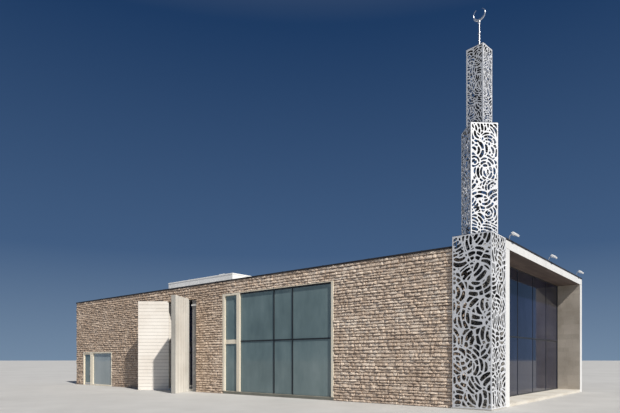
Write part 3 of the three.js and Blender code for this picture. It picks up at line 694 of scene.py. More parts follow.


# Edge and depth darken each stone toward its beds and joints to a warm dark: painted shade in the recesses
# between stones.
SPLIT_STONE = finish(
    "split_limestone", [(0.50, 0.38, 0.285), (0.72, 0.575, 0.45), (0.90, 0.78, 0.65)], patch=1.1, grain=26.0,
    relief=0.03, rough=(0.8, 0.95), by_piece=0.14, edge=0.7, chips=20.0, strength=0.8, depth=(1.1, 0.86, 0.7))
BEDDING = finish(
    "bedding_mortar", [(0.085, 0.055, 0.038), (0.13, 0.09, 0.065), (0.19, 0.14, 0.10)], grain=40.0,
    relief=0.004, rough=(0.88, 0.98))
SAWN_STONE = finish(
    "sawn_limestone", [(0.70, 0.64, 0.56), (0.81, 0.76, 0.69), (0.88, 0.84, 0.78)], patch=0.6, grain=22.0,
    stretch=(1, 1, 3.5), relief=0.002, rough=(0.6, 0.8), by_piece=0.08, chips=60.0, strength=0.35)
CHEEK_STONE = finish(
    "tooled_limestone", [(0.30, 0.26, 0.21), (0.45, 0.40, 0.34), (0.60, 0.545, 0.47)], grain=30.0,
    relief=0.012, rough=(0.75, 0.92), by_piece=0.08, chips=36.0)
JOINT = finish(
    "pale_joint_mortar", [(0.36, 0.33, 0.28), (0.46, 0.42, 0.36), (0.55, 0.51, 0.45)], grain=50.0,
    relief=0.002, rough=(0.85, 0.95))
DARK_JOINT = finish(
    "grey_joint_mortar", [(0.13, 0.12, 0.105), (0.19, 0.175, 0.155), (0.25, 0.235, 0.21)], grain=50.0,
    relief=0.002, rough=(0.85, 0.95))
# Edge darkens the east slab's street end, where the crown is 0: painted shade.
BOARD_CONCRETE = finish(
    "board_marked_concrete", [(0.62, 0.59, 0.53), (0.78, 0.75, 0.68), (0.88, 0.86, 0.80)], patch=0.55,
    grain=16.0, stretch=(3, 3, 0.35), relief=0.002, rough=(0.6, 0.8), by_piece=0.22, edge=0.55, streak=0.12)
# Grey concrete of the entrance jamb, its tones set darker to paint the shade of the lintel and reveal on it.
GREY_CONCRETE = finish(
    "grey_concrete_painted_shade", [(0.15, 0.15, 0.155), (0.21, 0.21, 0.215), (0.27, 0.27, 0.275)], grain=18.0,
    relief=0.002, rough=(0.6, 0.85), streak=0.15)
CONCRETE = finish(
    "smooth_concrete", [(0.42, 0.40, 0.36), (0.52, 0.50, 0.46), (0.60, 0.58, 0.54)], grain=18.0, relief=0.002,
    rough=(0.6, 0.85), streak=0.12)
RENDER = finish(
    "white_render", [(0.74, 0.73, 0.69), (0.83, 0.82, 0.79), (0.88, 0.88, 0.86)], patch=0.4, grain=90.0,
    relief=0.0015, rough=(0.65, 0.85), streak=0.06)
BOX_WHITE = finish(
    "fresh_white_render", [(0.86, 0.86, 0.84), (0.92, 0.92, 0.905), (0.95, 0.95, 0.94)], patch=0.4,
    grain=60.0, relief=0.001, rough=(0.5, 0.7), streak=0.05)
WHITE_METAL = finish(
    "white_cladding", [(0.72, 0.715, 0.69), (0.79, 0.785, 0.765), (0.84, 0.84, 0.825)], grain=30.0,
    relief=0.0006, rough=(0.3, 0.48), streak=0.05)
COPING = finish(
    "dark_coping_metal", [(0.035, 0.03, 0.028), (0.055, 0.048, 0.045), (0.085, 0.075, 0.07)], patch=0.8,
    grain=24.0, stretch=(0.4, 0.4, 2), relief=0.0008, rough=(0.35, 0.6), Metallic=0.6)
CREAM = finish(
    "cream_painted_metal", [(0.77, 0.68, 0.52), (0.86, 0.78, 0.63), (0.92, 0.86, 0.73)], grain=34.0,
    stretch=(1, 1, 0.3), relief=0.0006, rough=(0.38, 0.6), streak=0.1)
SILL_METAL = finish(
    "weathered_sill", [(0.27, 0.26, 0.21), (0.35, 0.34, 0.28), (0.43, 0.42, 0.35)], patch=0.7, grain=30.0,
    stretch=(0.4, 1, 1), relief=0.0006, rough=(0.45, 0.7), Metallic=0.2)
DARK_FRAME = finish(
    "dark_anodised_metal", [(0.012, 0.016, 0.022), (0.022, 0.028, 0.036), (0.04, 0.046, 0.056)], patch=0.9,
    grain=40.0, stretch=(1, 1, 0.25), relief=0.0005, rough=(0.3, 0.5), Metallic=0.5)
GASKET = finish(
    "black_rubber", [(0.008, 0.008, 0.009), (0.014, 0.014, 0.015), (0.022, 0.022, 0.023)], grain=80.0,
    relief=0.0004, rough=(0.6, 0.8))
# Edge darkens the plates' backs and slot walls nearly to black: painted shade inside the minaret.
PLATE_STEEL = finish(
    "blasted_steel_plate", [(0.62, 0.63, 0.655), (0.75, 0.76, 0.78), (0.86, 0.87, 0.885)], patch=0.7,
    grain=28.0, stretch=(1, 1, 0.4), relief=0.0008, rough=(0.38, 0.6), by_piece=0.1, edge=0.95, Metallic=0.2)
DARK_STEEL = finish(
    "dark_primed_steel", [(0.03, 0.032, 0.036), (0.045, 0.047, 0.052), (0.07, 0.072, 0.078)], patch=2.0,
    grain=14.0, relief=0.0008, rough=(0.4, 0.65), chips=9.0, strength=0.2, Metallic=0.6)
BRIGHT_STEEL = finish(
    "brushed_steel", [(0.55, 0.56, 0.58), (0.66, 0.67, 0.69), (0.76, 0.77, 0.79)], patch=1.5, grain=60.0,
    stretch=(1, 1, 0.06), relief=0.0004, rough=(0.2, 0.4), Metallic=0.9)
LAMP_SHELL = finish(
    "white_enamel", [(0.78, 0.78, 0.76), (0.86, 0.86, 0.85), (0.91, 0.91, 0.90)], patch=2.0, grain=60.0,
    relief=0.0004, rough=(0.25, 0.42))
LENS = finish(
    "frosted_lens", [(0.55, 0.58, 0.60), (0.68, 0.71, 0.73), (0.80, 0.82, 0.84)], patch=3.0, grain=120.0,
    relief=0.0006, rough=(0.12, 0.3), Transmission_Weight=0.3)
FLOOR_STONE = finish(
    "pale_floor_stone", [(0.58, 0.53, 0.45), (0.70, 0.66, 0.58), (0.79, 0.76, 0.70)], patch=0.6, grain=24.0,
    relief=0.0015, rough=(0.5, 0.75), by_piece=0.12)
GRAVEL = finish(
    "roof_gravel", [(0.26, 0.25, 0.23), (0.42, 0.40, 0.37), (0.58, 0.56, 0.52)], grain=22.0, relief=0.03,
    rough=(0.85, 0.97), chips=30.0, strength=0.9)
MEMBRANE = finish(
    "grey_membrane", [(0.30, 0.31, 0.32), (0.38, 0.39, 0.40), (0.46, 0.47, 0.48)], patch=0.4, grain=20.0,
    relief=0.002, rough=(0.55, 0.8))
BOARDS = finish(
    "stained_ceiling_boards", [(0.075, 0.05, 0.042), (0.12, 0.085, 0.07), (0.18, 0.13, 0.11)], patch=0.6,
    grain=14.0, stretch=(6, 0.5, 6), relief=0.002, rough=(0.55, 0.75), by_piece=0.2)
# Near-black tones paint the deep shade inside the entrance recess onto its ceiling boards.
BLACK_BOARDS = finish(
    "recess_boards_painted_shade_black", [(0.012, 0.012, 0.013), (0.020, 0.020, 0.021), (0.03, 0.03, 0.031)], patch=0.6,
    grain=14.0, stretch=(0.5, 6, 6), relief=0.002, rough=(0.6, 0.8), by_piece=0.2)
HALL_GLASS = finish(
    "teal_glass", [(0.12, 0.175, 0.185), (0.185, 0.26, 0.27), (0.27, 0.35, 0.355)], patch=0.35, grain=0.9,
    stretch=(1, 1, 0.35), relief=0.0004, rough=(0.03, 0.07), by_piece=0.10, strength=0.1,
    Transmission_Weight=0.2, IOR=1.5)
PORTAL_GLASS = finish(
    "dark_blue_glass", [(0.006, 0.009, 0.028), (0.011, 0.016, 0.045), (0.02, 0.028, 0.07)], patch=0.3,
    grain=0.8, stretch=(1, 1, 0.3), relief=0.0004, rough=(0.03, 0.07), by_piece=0.10, strength=0.1,
    Transmission_Weight=0.2, IOR=1.42)
CLEAR_GLASS = finish(
    "clear_shop_glass", [(0.40, 0.47, 0.49), (0.48, 0.55, 0.57), (0.56, 0.63, 0.65)], grain=1.0,
    stretch=(1, 1, 0.35), relief=0.0004, rough=(0.01, 0.04), strength=0.1, Transmission_Weight=0.35, IOR=1.52)

for material, nodes in (
    (BEDDING, ("street_pier_west", "wall_over_shopfront", "street_wall_west", "entrance_lintel",
               "street_pier_mid", "wall_over_window", "street_wall_east", "back_wall", "west_wall")),
    (DARK_JOINT, ("entrance_return", "entrance_slab_west")),
    (JOINT, ("portal_wall_north",)),
    (RENDER, ("portal_roof_slab",)),
    (BOX_WHITE, ("roof_box",)),
    # portal_wall_south is given this darker concrete to paint the minaret's shade on its face.
    (CONCRETE, ("upper_floor_slab", "roof_slab", "minaret_pad", "portal_wall_south")),
    (GREY_CONCRETE, ("entrance_jamb",)),
    (FLOOR_STONE, ("ground_floor_slab",)),
    (DARK_STEEL, ("minaret_core",)),
):
    for node in nodes:
        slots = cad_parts[node].data.materials
        slots.clear()
        slots.append(material)


# Stones of the street, the west end, the back and the notch: course height, run past a corner, bed joints

COURSE = 0.156
QUOIN = 0.026
NO_CORNER = 9e9
LEVELS = course_levels((0, SHOP_TOP, WINDOW_TOP, WALL_TOP), COURSE, 11)


def build_stones(name, face, rows, seed, cells=(3, 3), *shape):
    """Split stones on one face as one piece, their tones lowered more toward the west at each stone."""
    darker = westward_darkening(face.origin[0] + face.axes[0, 0] * rows[:, 0])
    Shell().add(split_stones(rows, cells, seed, darker, *shape), face).make(
        name, SPLIT_STONE, "rough_stone", crease=24)


def build_walling():
    """Split stones over every outer wall, in courses that run round the corners."""
    street = [span(node) for node in ("street_pier_west", "wall_over_shopfront", "entrance_lintel",
                                      "street_pier_mid", "wall_over_window", "street_wall_east")]
    start, stop = span("street_wall_west")[:2]
    root = slab_plan(*WEST_SLAB)[2][0] - 0.01
    street += [(start, root, 0, WALL_TOP), (root, stop, FREE_SLAB_TOP + 0.02, WALL_TOP)]
    rows = lay(street, LEVELS, 0.30, 21, (WEST, NOTCH_EAST), QUOIN)
    west_part = rows[:, 0] < JAMB_WEST
    build_stones("street_stones_west", STREET_FACE, rows[west_part], 22, (4, 4))
    build_stones("street_stones_east", STREET_FACE, rows[~west_part], 22, (4, 4))

    notch = [(STREET, ends("street_wall_east")[1][1] - 0.02, 0, WALL_TOP)]
    rows = lay(notch, LEVELS, 0.36, 31, (STREET, NO_CORNER), QUOIN, 1)
    build_stones("notch_stones", east_face(NOTCH_EAST), rows, 32, (4, 4), (0.01, 0.026), 0.005)

    rows = lay([(-BACK, -STREET, 0, WALL_TOP)], LEVELS, 0.46, 41, (-BACK, -STREET), QUOIN, 1)
    build_stones("west_stones", west_face(WEST), rows, 42)

    sill, head = (corner[2] for corner in BACK_WINDOWS[0])
    cuts = sorted([-PORTAL_EAST + 0.02, -WEST] + [-corner[0] for pair in BACK_WINDOWS for corner in pair])
    back = []
    for index, (left, right) in enumerate(zip(cuts[:-1], cuts[1:])):
        parts = ((0, sill), (head, WALL_TOP)) if index % 2 else ((0, WALL_TOP),)
        back += [(left, right, *part) for part in parts]
    rows = lay(back, LEVELS, 0.48, 51, (NO_CORNER, -WEST), QUOIN)
    build_stones("back_stones", BACK_FACE, rows, 52)


# Metal caps on the walls, with a seam cover every few metres

STRAP_STEP = 3.0
STRAP_HALF = 0.04


def build_cap(name, node, profile, path, rise, out):
    """A folded metal cap carried along a path, with seam covers at even steps on each straight: a block
    down the face between the heights rise, and a block over the top between the distances out."""
    cap = Shell().add(carried(profile, path))
    covers = ((*rise, out[1], out[1] + 0.004), (rise[1] - 0.012, rise[1] + 0.004, out[0], out[1] + 0.004))
    for start, stop in zip(np.array(path[:-1]), np.array(path[1:])):
        length = np.linalg.norm(stop - start)
        way = (stop - start) / length
        count = max(1, round(length / STRAP_STEP))
        middle = -(np.arange(count) + 0.5) / count * length
        rows = [(x - STRAP_HALF, x + STRAP_HALF, *cover) for cover in covers for x in middle]
        cap.add(blocks(rows, 0.002), Face((*start, 0), (-way[0], -way[1], 0)))
    cap.make(name, COPING, "dark_flashing", replaces=(node,))


def build_copings():
    """Folded coping along the tops of the stone walls, and the flashing of the portal slab."""
    notch = ends("street_wall_east")[1][1] - 0.0015
    path = [(NOTCH_EAST, notch), (NOTCH_EAST, STREET), (WEST, STREET), (WEST, BACK),
            (PORTAL_WEST - 0.002, BACK)]
    top = WALL_TOP
    profile = [(0.044, top - 0.045), (0.054, top - 0.052), (0.050, top - 0.036), (0.050, top + 0.046),
               (0.046, top + 0.051), (-0.518, top + 0.038), (-0.523, top + 0.034), (-0.523, top - 0.035),
               (-0.515, top - 0.035), (-0.515, top + 0.001), (0.044, top + 0.001)]
    build_cap("wall_coping", "parapet_coping", profile, path, (top - 0.05, top + 0.055), (-0.5, 0.050))

    proud = 0.01
    near, far, east = NEAR_OUTER - proud, BACK + proud, PORTAL_EAST + proud
    path = [(PORTAL_WEST, far), (east, far), (east, near), (PORTAL_WEST, near)]
    top = SLAB_TOP
    profile = [(0.002, top - 0.012), (0.012, top - 0.020), (0.009, top - 0.004), (0.009, top + 0.068),
               (0.005, top + 0.072), (-0.116, top + 0.066), (-0.120, top + 0.061), (-0.120, top + 0.001),
               (0.002, top + 0.001)]
    build_cap("portal_flashing_caps", "portal_flashing", profile, path, (top - 0.018, top + 0.074),
              (-0.11, 0.009))


# Glazing

BEAD = [(-0.002, -0.008), (0.004, -0.008), (0.006, -0.011), (0.006, -0.034), (-0.002, -0.034)]
SEAL = [(0.005, -0.016), (0.010, -0.020), (0.010, -0.030), (0.005, -0.034)]
LAP = 0.008
STRIP = 0.13
SHADOW_GAP = 0.012


def shifted(profile, w):
    """The profile moved out by w."""
    return [(inset, depth + w) for inset, depth in profile]


def pane_sheets(rows, w, thickness=0.02, bow=0.0016):
    """Panes over the rectangles (u0, u1, v0, v1): a sheet whose face swells by the bow times
    (1 - (2s - 1)^2)(1 - (2t - 1)^2), as sealed panes do."""
    rows = np.asarray(rows, float).reshape(-1, 4)
    s, t = np.meshgrid(np.linspace(0, 1, 9), np.linspace(0, 1, 9))
    u0, u1, v0, v1 = (rows[:, k, None, None] for k in range(4))
    swell = bow * (1 - (2 * s - 1) ** 2) * (1 - (2 * t - 1) ** 2)
    face = np.broadcast_to(w + swell, u0.shape[:1] + s.shape)
    grid = np.stack([u0 + (u1 - u0) * s, v0 + (v1 - v0) * t, face], -1)
    tones = np.random.default_rng(len(rows)).uniform(0, 1, len(rows))
    return patches(grid, w - thickness, tones)


def glaze(face, panes, w, name, glass, slot, frame_shell, replaces=()):
    """Beads round each pane on the frame's shell, the panes themselves, and black seals."""
    frame_shell.add(loops(panes, shifted(BEAD, w)), face)
    sheets = [(u0 + LAP, u1 - LAP, v0 + LAP, v1 - LAP) for u0, u1, v0, v1 in panes]
    Shell().add(pane_sheets(sheets, w - 0.026), face).make(name, glass, slot, replaces=replaces)
    Shell().add(loops(panes, shifted(SEAL, w)), face).make(name.replace("pane", "seal"), GASKET, "dark_frame")


def stiles(u0, u1, v0, v1, bar, w0, w1):
    """The two uprights at the ends of a frame, as rows for blocks."""
    return [(u0, u0 + bar, v0, v1, w0, w1), (u1 - bar, u1, v0, v1, w0, w1)]


def fluted(u0, u1, v0, v1, w0, w1, upright=True):
    """A wide frame member made up of strips with a fine shadow gap between, as rows for blocks."""
    low, high = (u0, u1) if upright else (v0, v1)
    count = max(1, round((high - low) / STRIP))
    rows = []
    for index, (left, right) in enumerate(strips(low, high, count)):
        front = w1 - SHADOW_GAP * (0 < index < count - 1)
        rows.append((left, right, v0, v1, w0, front) if upright else (u0, u1, left, right, w0, front))
    return rows


def build_street_window():
    """The narrow column window and the wide hall window: cream posts, a cream band at the floor, a dark
    head over the hall panes, dark mullions and transom, and a weathered sill."""
    left, right, top = (span("street_window_frame")[k] for k in (0, 1, 3))
    w1, w0 = FRAME_FRONT, FRAME_BACK
    cream = []
    for post in ((left, COLUMN[0]), (COLUMN[1], HALL[0]), (HALL[1], right)):
        cream += fluted(*post, SILL, top, w0, PROUD)
    cream += [(*COLUMN, HEAD, top, w0, PROUD), (*HALL, top - 0.035, top, w1, PROUD)]
    cream += fluted(*COLUMN, *UPPER_FLOOR, w0, w1 + 0.01, upright=False)
    members = Shell().add(blocks(cream, 0.005), STREET_FACE)
    nose = SILL - 0.03
    sill = [(left, right, 0.002, nose, w0, w1), (left, right, nose, SILL, w0, w1 + 0.045)]
    Shell().add(blocks(sill, 0.006), STREET_FACE).make("street_window_sill", SILL_METAL, "cream_frame")

    half = MULLION / 2
    dark = [(x - half, x + half, SILL, HEAD, w0, w1) for x in MULLIONS]
    dark.append((*HALL, HEAD, top, w0, w1 - 0.012))
    edges = [HALL[0], *(x + side * half for x in MULLIONS for side in (-1, 1)), HALL[1]]
    wide = []
    for bay in zip(edges[::2], edges[1::2]):
        dark.append((*bay, *TRANSOM, w0, w1 - 0.002))
        wide += [(*bay, SILL, TRANSOM[0]), (*bay, TRANSOM[1], HEAD)]
    bars = Shell().add(blocks(dark, 0.004), STREET_FACE)
    column = [(*COLUMN, SILL, UPPER_FLOOR[0]), (*COLUMN, UPPER_FLOOR[1], HEAD)]
    glaze(STREET_FACE, column, w1 - 0.01, "column_panes", HALL_GLASS, "street_glass", members,
          ("street_window_glass",))
    glaze(STREET_FACE, wide, w1 - 0.01, "hall_panes", HALL_GLASS, "street_glass", bars)
    members.make("street_window_members", CREAM, "cream_frame", replaces=("street_window_frame",))
    bars.make("hall_mullions", DARK_FRAME, "dark_frame", replaces=("street_window_frame",))


def build_shop_front():
    """Glazed shop front: cream posts and rails and one wide pane beside the door."""
    left, right, top = (span("shopfront_frame")[k] for k in (0, 1, 3))
    w1, w0 = FRAME_FRONT, FRAME_BACK
    head = top - RAIL
    rows = stiles(left, right, 0, top, RAIL, w0, PROUD)
    rows += [(left + RAIL, right - RAIL, head, top, w0, PROUD),
             (SHOP_POST[1], right - RAIL, 0, RAIL, w0, PROUD + 0.01),
             (left + RAIL, SHOP_POST[0], 0, THRESHOLD, w0, w1)]
    rows += fluted(*SHOP_POST, 0, head, w0, PROUD)
    members = Shell().add(blocks(rows, 0.005), STREET_FACE)
    pane = [(SHOP_POST[1], right - RAIL, RAIL, head)]
    glaze(STREET_FACE, pane, w1 - 0.01, "shop_pane", CLEAR_GLASS, "street_glass", members,
          ("shopfront_glass",))
    members.make("shop_front_members", CREAM, "cream_frame", replaces=("shopfront_frame",))


def build_back_windows():
    """Three tall windows of the back wall, each a frame round two panes, with a lip out to the stones."""
    bar = 0.15
    w0, w1 = (corner[1] - BACK for corner in BACK_WINDOWS[0])
    rows, panes, outlines = [], [], []
    for low, high in BACK_WINDOWS:
        u0, u1, v0, v1 = -high[0], -low[0], low[2], high[2]
        inside = (u0 + bar, u1 - bar)
        rows += stiles(u0, u1, v0, v1, bar, w0, w1)
        rows += [(*inside, v0, v0 + bar, w0, w1 + 0.02), (*inside, HEAD, v1, w0, w1)]
        rows += fluted(*inside, *UPPER_FLOOR, w0, w1 - 0.01, upright=False)
        panes += [(*inside, v0 + bar, UPPER_FLOOR[0]), (*inside, UPPER_FLOOR[1], HEAD)]
        outlines.append((u0, u1, v0, v1))
    members = Shell().add(blocks(rows, 0.005), BACK_FACE)
    lip = [(-0.03, 0.046), (0.008, 0.046), (0.008, w1 + 0.002), (-0.002, w1 + 0.002), (-0.002, 0.040),
           (-0.03, 0.040)]
    members.add(loops(outlines, lip), BACK_FACE)
    glaze(BACK_FACE, panes, w1 - 0.01, "back_panes", HALL_GLASS, "street_glass", members)
    members.make("back_window_members", CREAM, "cream_frame",
                 replaces=("back_window_west", "back_window_mid", "back_window_east"))


def build_portal_window():
    """Glazed wall of the portal: slim dark bars, a transom and ten dark panes."""
    low, high = ends("portal_window_frame")
    back, half = low[0] - high[0], 0.017
    start, stop, v0, v1 = low[1], high[1], low[2], high[2]
    foot, head = v0 + PORTAL_BAR, v1 - PORTAL_BAR
    rows = stiles(start, stop, v0, v1, half, back, 0)
    rows += [(y - half, y + half, v0, v1, back, 0) for y in np.linspace(start, stop, PORTAL_BAYS + 1)[1:-1]]
    panes = []
    for bay in strips(start, stop, PORTAL_BAYS, half):
        rows += [(*bay, v0, foot, back, 0), (*bay, *PORTAL_TRANSOM, back, -0.005), (*bay, head, v1, back, 0)]
        panes += [(*bay, foot, PORTAL_TRANSOM[0]), (*bay, PORTAL_TRANSOM[1], head)]
    bars = Shell().add(blocks(rows, 0.003), PORTAL_FACE)
    closer = [(stop - 0.20, stop - half, foot, head, back, 0.004)]
    bars.add(blocks(closer, 0.003), PORTAL_FACE)
    glaze(PORTAL_FACE, panes, 0.008, "portal_panes", PORTAL_GLASS, "dark_glass", bars,
          ("portal_window_glass",))
    bars.make("portal_bars", DARK_FRAME, "dark_frame", replaces=("portal_window_frame",))


def build_entrance_screen():
    """Dark glazed screen behind the recess, with an opening for the pair of doors."""
    low, high = ends("entrance_frame")
    bar, back = SCREEN_BAR, low[1] - high[1]
    start, stop, v0, v1 = low[0], high[0], low[2], high[2]
    beside = [(start + bar, DOORWAY[0] - bar), (DOORWAY[1] + bar, stop - bar)]
    uprights = [(start, beside[0][0]), (beside[0][1], DOORWAY[0]), (DOORWAY[1], beside[1][0]),
                (beside[1][1], stop)]
    rows = [(*upright, v0, v1, back, 0) for upright in uprights]
    panes = []
    for bay in (beside[0], DOORWAY, beside[1]):
        rows += [(*bay, *UPPER_FLOOR, back, -0.004), (*bay, v1 - bar, v1, back, 0)]
        panes.append((*bay, UPPER_FLOOR[1], v1 - bar))
        if bay is DOORWAY:
            rows += [(*bay, DOOR_TOP, DOOR_TOP + bar, back, 0), (*bay, v0, v0 + THRESHOLD, back, 0)]
            panes.append((*bay, DOOR_TOP + bar, UPPER_FLOOR[0]))
        else:
            rows.append((*bay, v0, v0 + bar, back, 0))
            panes.append((*bay, v0 + bar, UPPER_FLOOR[0]))
    bars = Shell().add(blocks(rows, 0.004), SCREEN_FACE)
    glaze(SCREEN_FACE, panes, 0.008, "entrance_panes", PORTAL_GLASS, "dark_glass", bars,
          ("entrance_glass",))
    bars.make("entrance_bars", DARK_FRAME, "dark_frame", replaces=("entrance_frame",))


# Doors: profiles (inset, w), sizes of the leaf, heights over its lower edge, and the pivot pins

DOOR_BEAD = [(-0.001, -0.006), (0.010, -0.006), (0.013, -0.010), (0.013, -0.019), (-0.001, -0.019)]
DOOR_SEAL = [(0.009, -0.012), (0.017, -0.015), (0.017, -0.019), (0.009, -0.019)]
DOOR_THICKNESS = 0.05
DOOR_STILE = 0.09
DOOR_CLEARANCE = 0.0097
DOOR_LAP = 0.006
FOOT_RAIL = 0.16
PULL_BAR = (0.8, 0.806, 1.494, 1.5)
PULL_POSTS = (0.865, 1.435)
PULL_REACH = 0.06
LOCK_HEIGHT = 0.98
PIN_INSET = 0.025
PIN_RADIUS = 0.0095


def build_door(node, name, face, front, toward, paint, glass, slots):
    """A glazed leaf on the body of its name: stiles and rails, a bead and seal round the pane, a round pull
    bar on two posts, a lock, a kick plate and the pivot pins. Toward is +1 where the free edge has the
    higher u, and -1 where it has the lower."""
    u0, u1, bottom, top = span(node)
    v0, v1 = bottom + DOOR_CLEARANCE, top - DOOR_CLEARANCE
    w1, w0 = front, front - DOOR_THICKNESS
    foot, head = v0 + FOOT_RAIL, v1 - DOOR_STILE
    left, right = u0 + DOOR_STILE, u1 - DOOR_STILE
    rows = stiles(u0, u1, v0, v1, DOOR_STILE, w0, w1)
    rows += [(left, right, v0, foot, w0, w1), (left, right, head, v1, w0, w1)]
    leaf = Shell().add(blocks(rows, 0.003), face)
    pane = [(left, right, foot, head)]
    leaf.add(loops(pane, shifted(DOOR_BEAD, w1)), face)
    leaf.add(loops(pane, shifted([(inset, -depth) for inset, depth in DOOR_BEAD], w0)), face)
    leaf.make(name + "_frame", paint, slots[0], name, (node,))
    sheet = [(left + DOOR_LAP, right - DOOR_LAP, foot + DOOR_LAP, head - DOOR_LAP)]
    Shell().add(pane_sheets(sheet, w1 - 0.019, 0.012, 0.0004), face).make(
        name + "_pane", glass, slots[1], name)
    Shell().add(loops(pane, shifted(DOOR_SEAL, w1)), face).make(name + "_seal", GASKET, "dark_frame", name)

    steel = Shell()
    hinge, free = (u0, u1) if toward > 0 else (u1, u0)
    grip = free - toward * DOOR_STILE / 2

    def add_bar(u, w, heights, radii, sides):
        """An upright round bar."""
        steel.add(tube([(u, v, w) for v in heights], radii, sides, (1, 0, 0), (0, 1, 0)), face)

    def add_stub(height, depths, radii, sides):
        """A round part that stands out of the stile at the grip."""
        steel.add(tube([(grip, v0 + height, w1 + w) for w in depths], radii, sides, (1, 0, 0), UP), face)

    add_bar(grip, w1 + PULL_REACH, [v0 + height for height in PULL_BAR],
            0.015 * np.array([0.6, 1, 1, 0.6]), 14)
    for height in PULL_POSTS:
        add_stub(height, (-0.004, 0.004, 0.004, PULL_REACH), (0.018, 0.018, 0.010, 0.010), 12)
    add_stub(LOCK_HEIGHT, (-0.004, 0.006, 0.008), (0.024, 0.024, 0.020), 16)
    kick_plate = (left + 0.02, right - 0.02, v0 + 0.015, foot - 0.02, w1 - 0.001, w1 + 0.0015)
    steel.add(blocks([kick_plate], 0.001), face)
    for heights in ((bottom, v0 + 0.02), (v1 - 0.02, top)):
        add_bar(hinge + toward * PIN_INSET, (w0 + w1) / 2, heights, PIN_RADIUS, 12)
    steel.make(name + "_fittings", BRIGHT_STEEL, None, name)


def build_doors():
    """The pair of entrance leaves and the shop leaf."""
    for side, toward in (("west", 1), ("east", -1)):
        build_door(f"entrance_door_{side}", f"entrance_leaf_{side}", SCREEN_FACE, -0.005, toward,
                   DARK_FRAME, PORTAL_GLASS, ("dark_frame", "dark_glass"))
    build_door("shopfront_door", "shop_leaf", STREET_FACE, FRAME_FRONT - 0.005, 1,
               CREAM, HALL_GLASS, ("cream_frame", "street_glass"))


# Entrance slabs: bed joints and depth of the sawn stone, and boards and day joint of the cast concrete

SAWN_LEVELS = np.linspace(0, FREE_SLAB_TOP, 27)
SKIN = 0.012
BOARD = 0.157
GROOVE = 0.0025
GROOVE_DEPTH = 0.004
BOARD_LIP = 0.0022
CUT_EDGE = 0.008
DAY_JOINT = 2.5


def build_west_slab():
    """Pale sawn courses on the three free sides of the west slab, and capping stones along its top."""
    outer, inner, root, end = (np.array([*corner, 0.0]) for corner in slab_plan(*WEST_SLAB))
    stones = Shell()
    for start, stop, before, past, seed in ((outer, inner, SKIN, 0, 84), (root, end, 0, SKIN, 85),
                                            (end, outer, 0, 0, 86)):
        length = np.linalg.norm(stop - start)
        wall = (-before, length + past, 0, FREE_SLAB_TOP)
        courses = sawn_blocks([wall], SAWN_LEVELS, 0.9, seed, SKIN, 0.007)
        stones.add(courses, Face(start, (stop - start) / length))
    near, far = np.linalg.norm(inner - outer), np.linalg.norm(root - end)
    lids = np.array([[[(share * length - SKIN, across, 0.016) for share in part]
                      for length, across in ((near, -SKIN), (far, FREE_SLAB + SKIN))]
                     for part in strips(0, 1, 4, 0.001)])
    way = (inner - outer) / near
    stones.add(patches(lids, -0.001), Face(outer + UP * FREE_SLAB_TOP, way, np.cross(UP, way)))
    stones.make("west_slab_courses", SAWN_STONE, "smooth_stone")


def build_east_slab():
    """The free slab of board-marked concrete. Its outline round the plan steps a little in and out from board
    to board, with a fine groove between boards, and is carried up. At each level the outline is scaled in
    toward the middle by the level's inset, which makes the cut edges and the day joint. The crown is 0 on the
    end toward the street and 1 elsewhere, so the finish darkens that end grey: painted shade."""
    outer, inner = np.array(EAST_SLAB)
    length = np.linalg.norm(inner - outer)
    way = (inner - outer) / length
    side = np.array([-way[1], way[0]])
    half = np.array([length / 2, FREE_SLAB / 2])
    middle = (outer + inner) / 2 + side * half[1]
    rng = np.random.default_rng(71)
    outline = []
    for turn in range(4):
        reach, stand = half if turn % 2 == 0 else half[::-1]
        count = max(2, round(2 * reach / BOARD))
        cuts = np.linspace(-reach + CUT_EDGE, reach - CUT_EDGE, count + 1)
        place = np.column_stack([cuts[:-1] + GROOVE, cuts[1:] - GROOVE, cuts[1:]]).ravel()[:-1]
        place[[0, -1]] = cuts[[0, -1]]
        own = rng.uniform(0, BOARD_LIP, count)
        depth = np.column_stack([own, own, np.full(count, GROOVE_DEPTH)]).ravel()[:-1]
        angle = turn * np.pi / 2
        spin = np.array([[np.cos(angle), -np.sin(angle)], [np.sin(angle), np.cos(angle)]])
        outline.append(np.column_stack([place, depth - stand]) @ spin.T)
    street_end = len(outline[-1])
    outline = np.concatenate(outline)
    around = len(outline)
    top, joint = span("entrance_slab_east")[3], DAY_JOINT
    levels = [(0, 0.002), (0.6, 0), (joint - 0.012, 0), (joint - 0.008, 0.007), (joint + 0.008, 0.007),
              (joint + 0.012, 0), (4.4, 0), (top - CUT_EDGE, 0), (top, CUT_EDGE)]
    heights, insets = np.array(levels).T[..., None, None]
    plan = outline[None] * (1 - insets / half)
    ground = middle + plan[..., :1] * way + plan[..., 1:] * side
    points = np.concatenate([ground, np.broadcast_to(heights, (len(levels), around, 1))], axis=2)
    ring = np.arange(around)
    tone = np.tile(np.clip(0.5 + 0.4 * np.sin(ring // 3 * 2.4), 0, 1), len(levels))
    # The street end gets crown 0, which the finish darkens as painted shade.
    crown = np.tile(ring < around - street_end, len(levels))
    faces = [ring_quads(len(levels), around, False)[:, ::-1], ring[None, ::-1],
             ring[None] + around * (len(levels) - 1)]
    Shell().add((points, faces, tone, crown)).make(
        "east_slab_boards", BOARD_CONCRETE, "concrete", replaces=("entrance_slab_east",), crease=20)


# Recess and portal: thickness of the cheeks' lining, width of the flashing, step between the sheet's laps

LINING = 0.016
FLASHING = 0.112
LAP_STEP = 1.05


